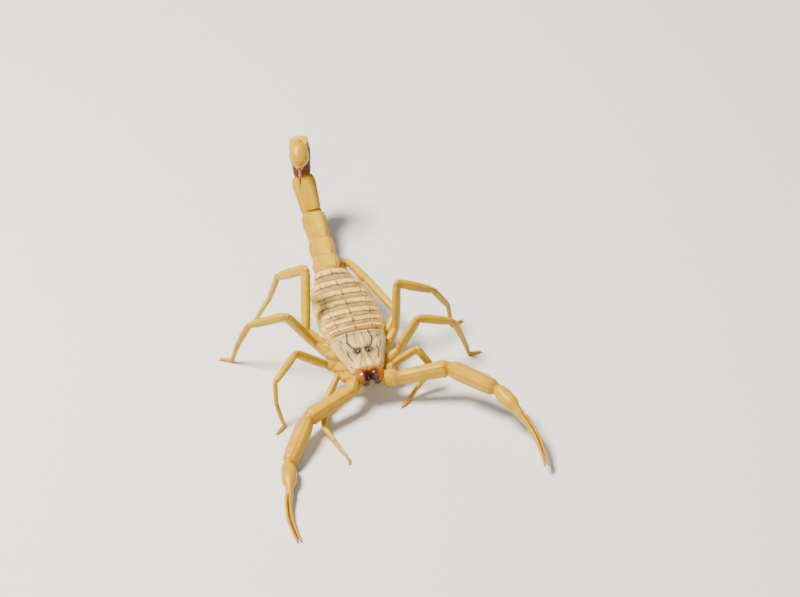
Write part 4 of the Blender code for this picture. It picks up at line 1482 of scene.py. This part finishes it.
def arm_base(label, sign):
    """A coarser tube from the mouth out to the shoulder, amber at the mouth."""
    root = palps[label][0]
    inner = belly_point(sign * 1.0 * MM, 2.6 * MM, coxa_height)
    side = unit(np.cross(root - inner, Z_AXIS))
    tube = Tube(straight(inner, root), ARM_WIDE, ARM_HIGH, side, mm(0.6, 0.9), 50, 56, 2.3)
    tube.lift(0.10 * grains(tube.points, 0.55, 620) + 0.03 * grains(tube.points, 0.25, 621))
    tube.stain(amber=0.9 * ease((0.85 - tube.share) / 0.4))
    return tube.closed()


def breastbone():
    """A flat tube along the middle, with a furrow below."""
    line = np.array([belly_point(*place) for place in mm(*BREAST_LINE)])
    tube = Tube(line, BREAST_WIDE, BREAST_HIGH, X_AXIS, mm(0.8, 0.8), 60, 60, 2.6)
    tube.lift(-0.12 * keel(tube.turn, -90, 8) + 0.02 * grains(tube.points, 0.3, 630))
    tube.stain(pale=0.4)
    return tube.closed()


surfaces = []
for label, sign in SIDES.items():
    surfaces += [leg_base(label, number, sign) for number in LEG_NUMBERS]
    surfaces.append(arm_base(label, sign))
make_piece("leg_bases", surfaces + [breastbone()], limb_paint, "limb", "coxal_plate")
tell("leg_bases")

# %% [markdown]
# Between the shield's edge and the leg bases the head is soft and dark. Without this skin one would
# look through the animal there, so one wide tube fills the height between the two.

# %% Sew the head skin
def build_head_skin():
    """A tube as wide as 0.8 of the shield, from just above its edge down to the leg bases."""
    back = np.linspace(shield_low[1] + 0.5 * MM, shield_high[1] + 0.4 * MM, 8)
    sway, half, edge = np.moveaxis(profile(shield_slices, back), -1, 0)[:3]
    roof, ground = edge + 0.25 * MM, plate_low[2] + 0.8 * MM
    centres = np.stack([sway, back, 0.5 * (roof + ground)], axis=-1)
    tube = Tube(centres, 0.80 * half, 0.5 * (roof - ground), X_AXIS, mm(0.4, 0.4), 70, 100, 2.8)
    tube.lift(0.07 * drift(tube.points * ACROSS_FOLDS, 1.2, 640))
    tube.stain(amber=0.5, dark=0.25)
    make_piece("head_skin", [tube.closed()], skin_paint, "membrane")


build_head_skin()
tell("head_skin")

# %% [markdown]
# Behind the leg bases hang the two combs, with which a scorpion feels the ground, and then come five
# belly plates. All but the last have a pair of slits to breathe through.

# %% Hang the combs
COMB_TEETH = 28
COMB_REACH = mm(4.4, 2.6, 0.9)
SPINE_WIDE, SPINE_HIGH = mm(0.42, 0.45, 0.40, 0.32, 0.2), np.full(5, 0.22) * MM


def comb(sign):
    """A spine that bows backwards by half a millimetre, with a row of blunt pale teeth."""
    start = belly_point(sign * 0.9 * MM, plate_high[1] - plate_low[1] - 1.6 * MM, 0.45 * MM)
    end = start + COMB_REACH * (sign, 1, 1)
    bow = 0.5 * MM * np.sin(np.linspace(0, math.pi, 5))[:, None] * Y_AXIS
    side = unit(np.cross(end - start, Z_AXIS))
    spine = Tube(straight(start, end) + bow, SPINE_WIDE, SPINE_HIGH, side, mm(0.3, 0.3), 40, 24, 2.2)
    spine.stain(pale=0.6)
    rows = np.linspace(CAP_ROWS, len(spine.line) - CAP_ROWS - 1, COMB_TEETH).astype(int)
    back = unit(np.array([-sign * 0.35, 1.0, -0.25]))
    roots = spine.centres[rows] + back * 0.15 * MM
    return [spine.closed(), horns(roots, back, back, 1.05, 0.085, 8, 5, (0, 0, 0.8), 0.35)]


make_piece("combs", comb(-1) + comb(1), limb_paint, "limb")
tell("combs")

# %% Forge the belly plates
BELLY_GRID, BELLY_ARC = (50, 110), (-146, -34)
BELLY_THICKNESS = 0.22
BELLY_PLATES = (3, 4, 5, 6, 7)


def build_sternite(number, rows):
    """A plate over the lower arch, with a pale rear edge, two long furrows and two dark slits."""
    front, rear = rows[0, 0], rows[-1, 0]
    share, turn, side_way = plate_plan(BELLY_GRID, BELLY_ARC)
    back = front - 0.3 * MM + share * (rear - front + 0.4 * MM)
    points = trunk_surface(back, turn, trunk_rows)
    slit = bell(np.hypot((side_way - 36) / 5, (share - 0.55) / 0.06), 1.0) * (number < TERGITES)
    height = (
        0.05 * ease(share / 0.3) + 0.06 * bell(share - 0.95, 0.04) - 0.16 * slit
        - 0.05 * bell(side_way - 22, 1.5) + 0.02 * grains(points, 0.3, 700 + number)
    )
    inside = ease(share / 0.05) * ease((1 - share) / 0.04) * ease((56 - side_way) / 4)
    tint = tints_on(points, dark=slit, pale=0.6 + 0.4 * ease((share - 0.8) / 0.1))
    plate = closed_plate(points, height * inside, -BELLY_THICKNESS * inside, tint)
    make_piece(f"belly_plate_{number}", [plate], limb_paint, "limb")


for number in BELLY_PLATES:
    build_sternite(number, plate_slices[number - 1])
tell("belly_plate")
print("triangles in all:", sum(pieces_made.values()), "in", len(pieces_made), "pieces")

# %% [markdown]
# ## Floor
# The floor is part of the studio and not of the animal: one plain sheet that curves up far behind it,
# as a roll of studio paper does, so no edge shows from any side.

# %% Lay the floor
FLOOR_REACH, FLOOR_FLAT, FLOOR_CURVE = 2.4, 0.9, 0.35
FLOOR_GRID = (40, 96)


def lay_floor():
    """A wide disc whose height grows with the square of the distance past its flat middle."""
    rows, around = FLOOR_GRID
    turns = np.linspace(0, 2 * math.pi, around + 1)[:-1]
    radius, angle = np.meshgrid(np.linspace(0, FLOOR_REACH, rows), turns, indexing="ij")
    height = FLOOR_CURVE * np.clip(radius - FLOOR_FLAT, 0, None) ** 2
    grid = np.stack([radius * np.cos(angle), radius * np.sin(angle), height], axis=-1)
    quads, _ = tube_faces(rows, around)
    mesh = bpy.data.meshes.new("studio_floor")
    mesh.from_pydata(grid.reshape(-1, 3).tolist(), [], quads.tolist())
    mesh.shade_smooth()
    mesh.materials.append(floor_paint)
    floor = stand("studio_floor", mesh)


lay_floor()
print("floor reaches, m:", FLOOR_REACH)
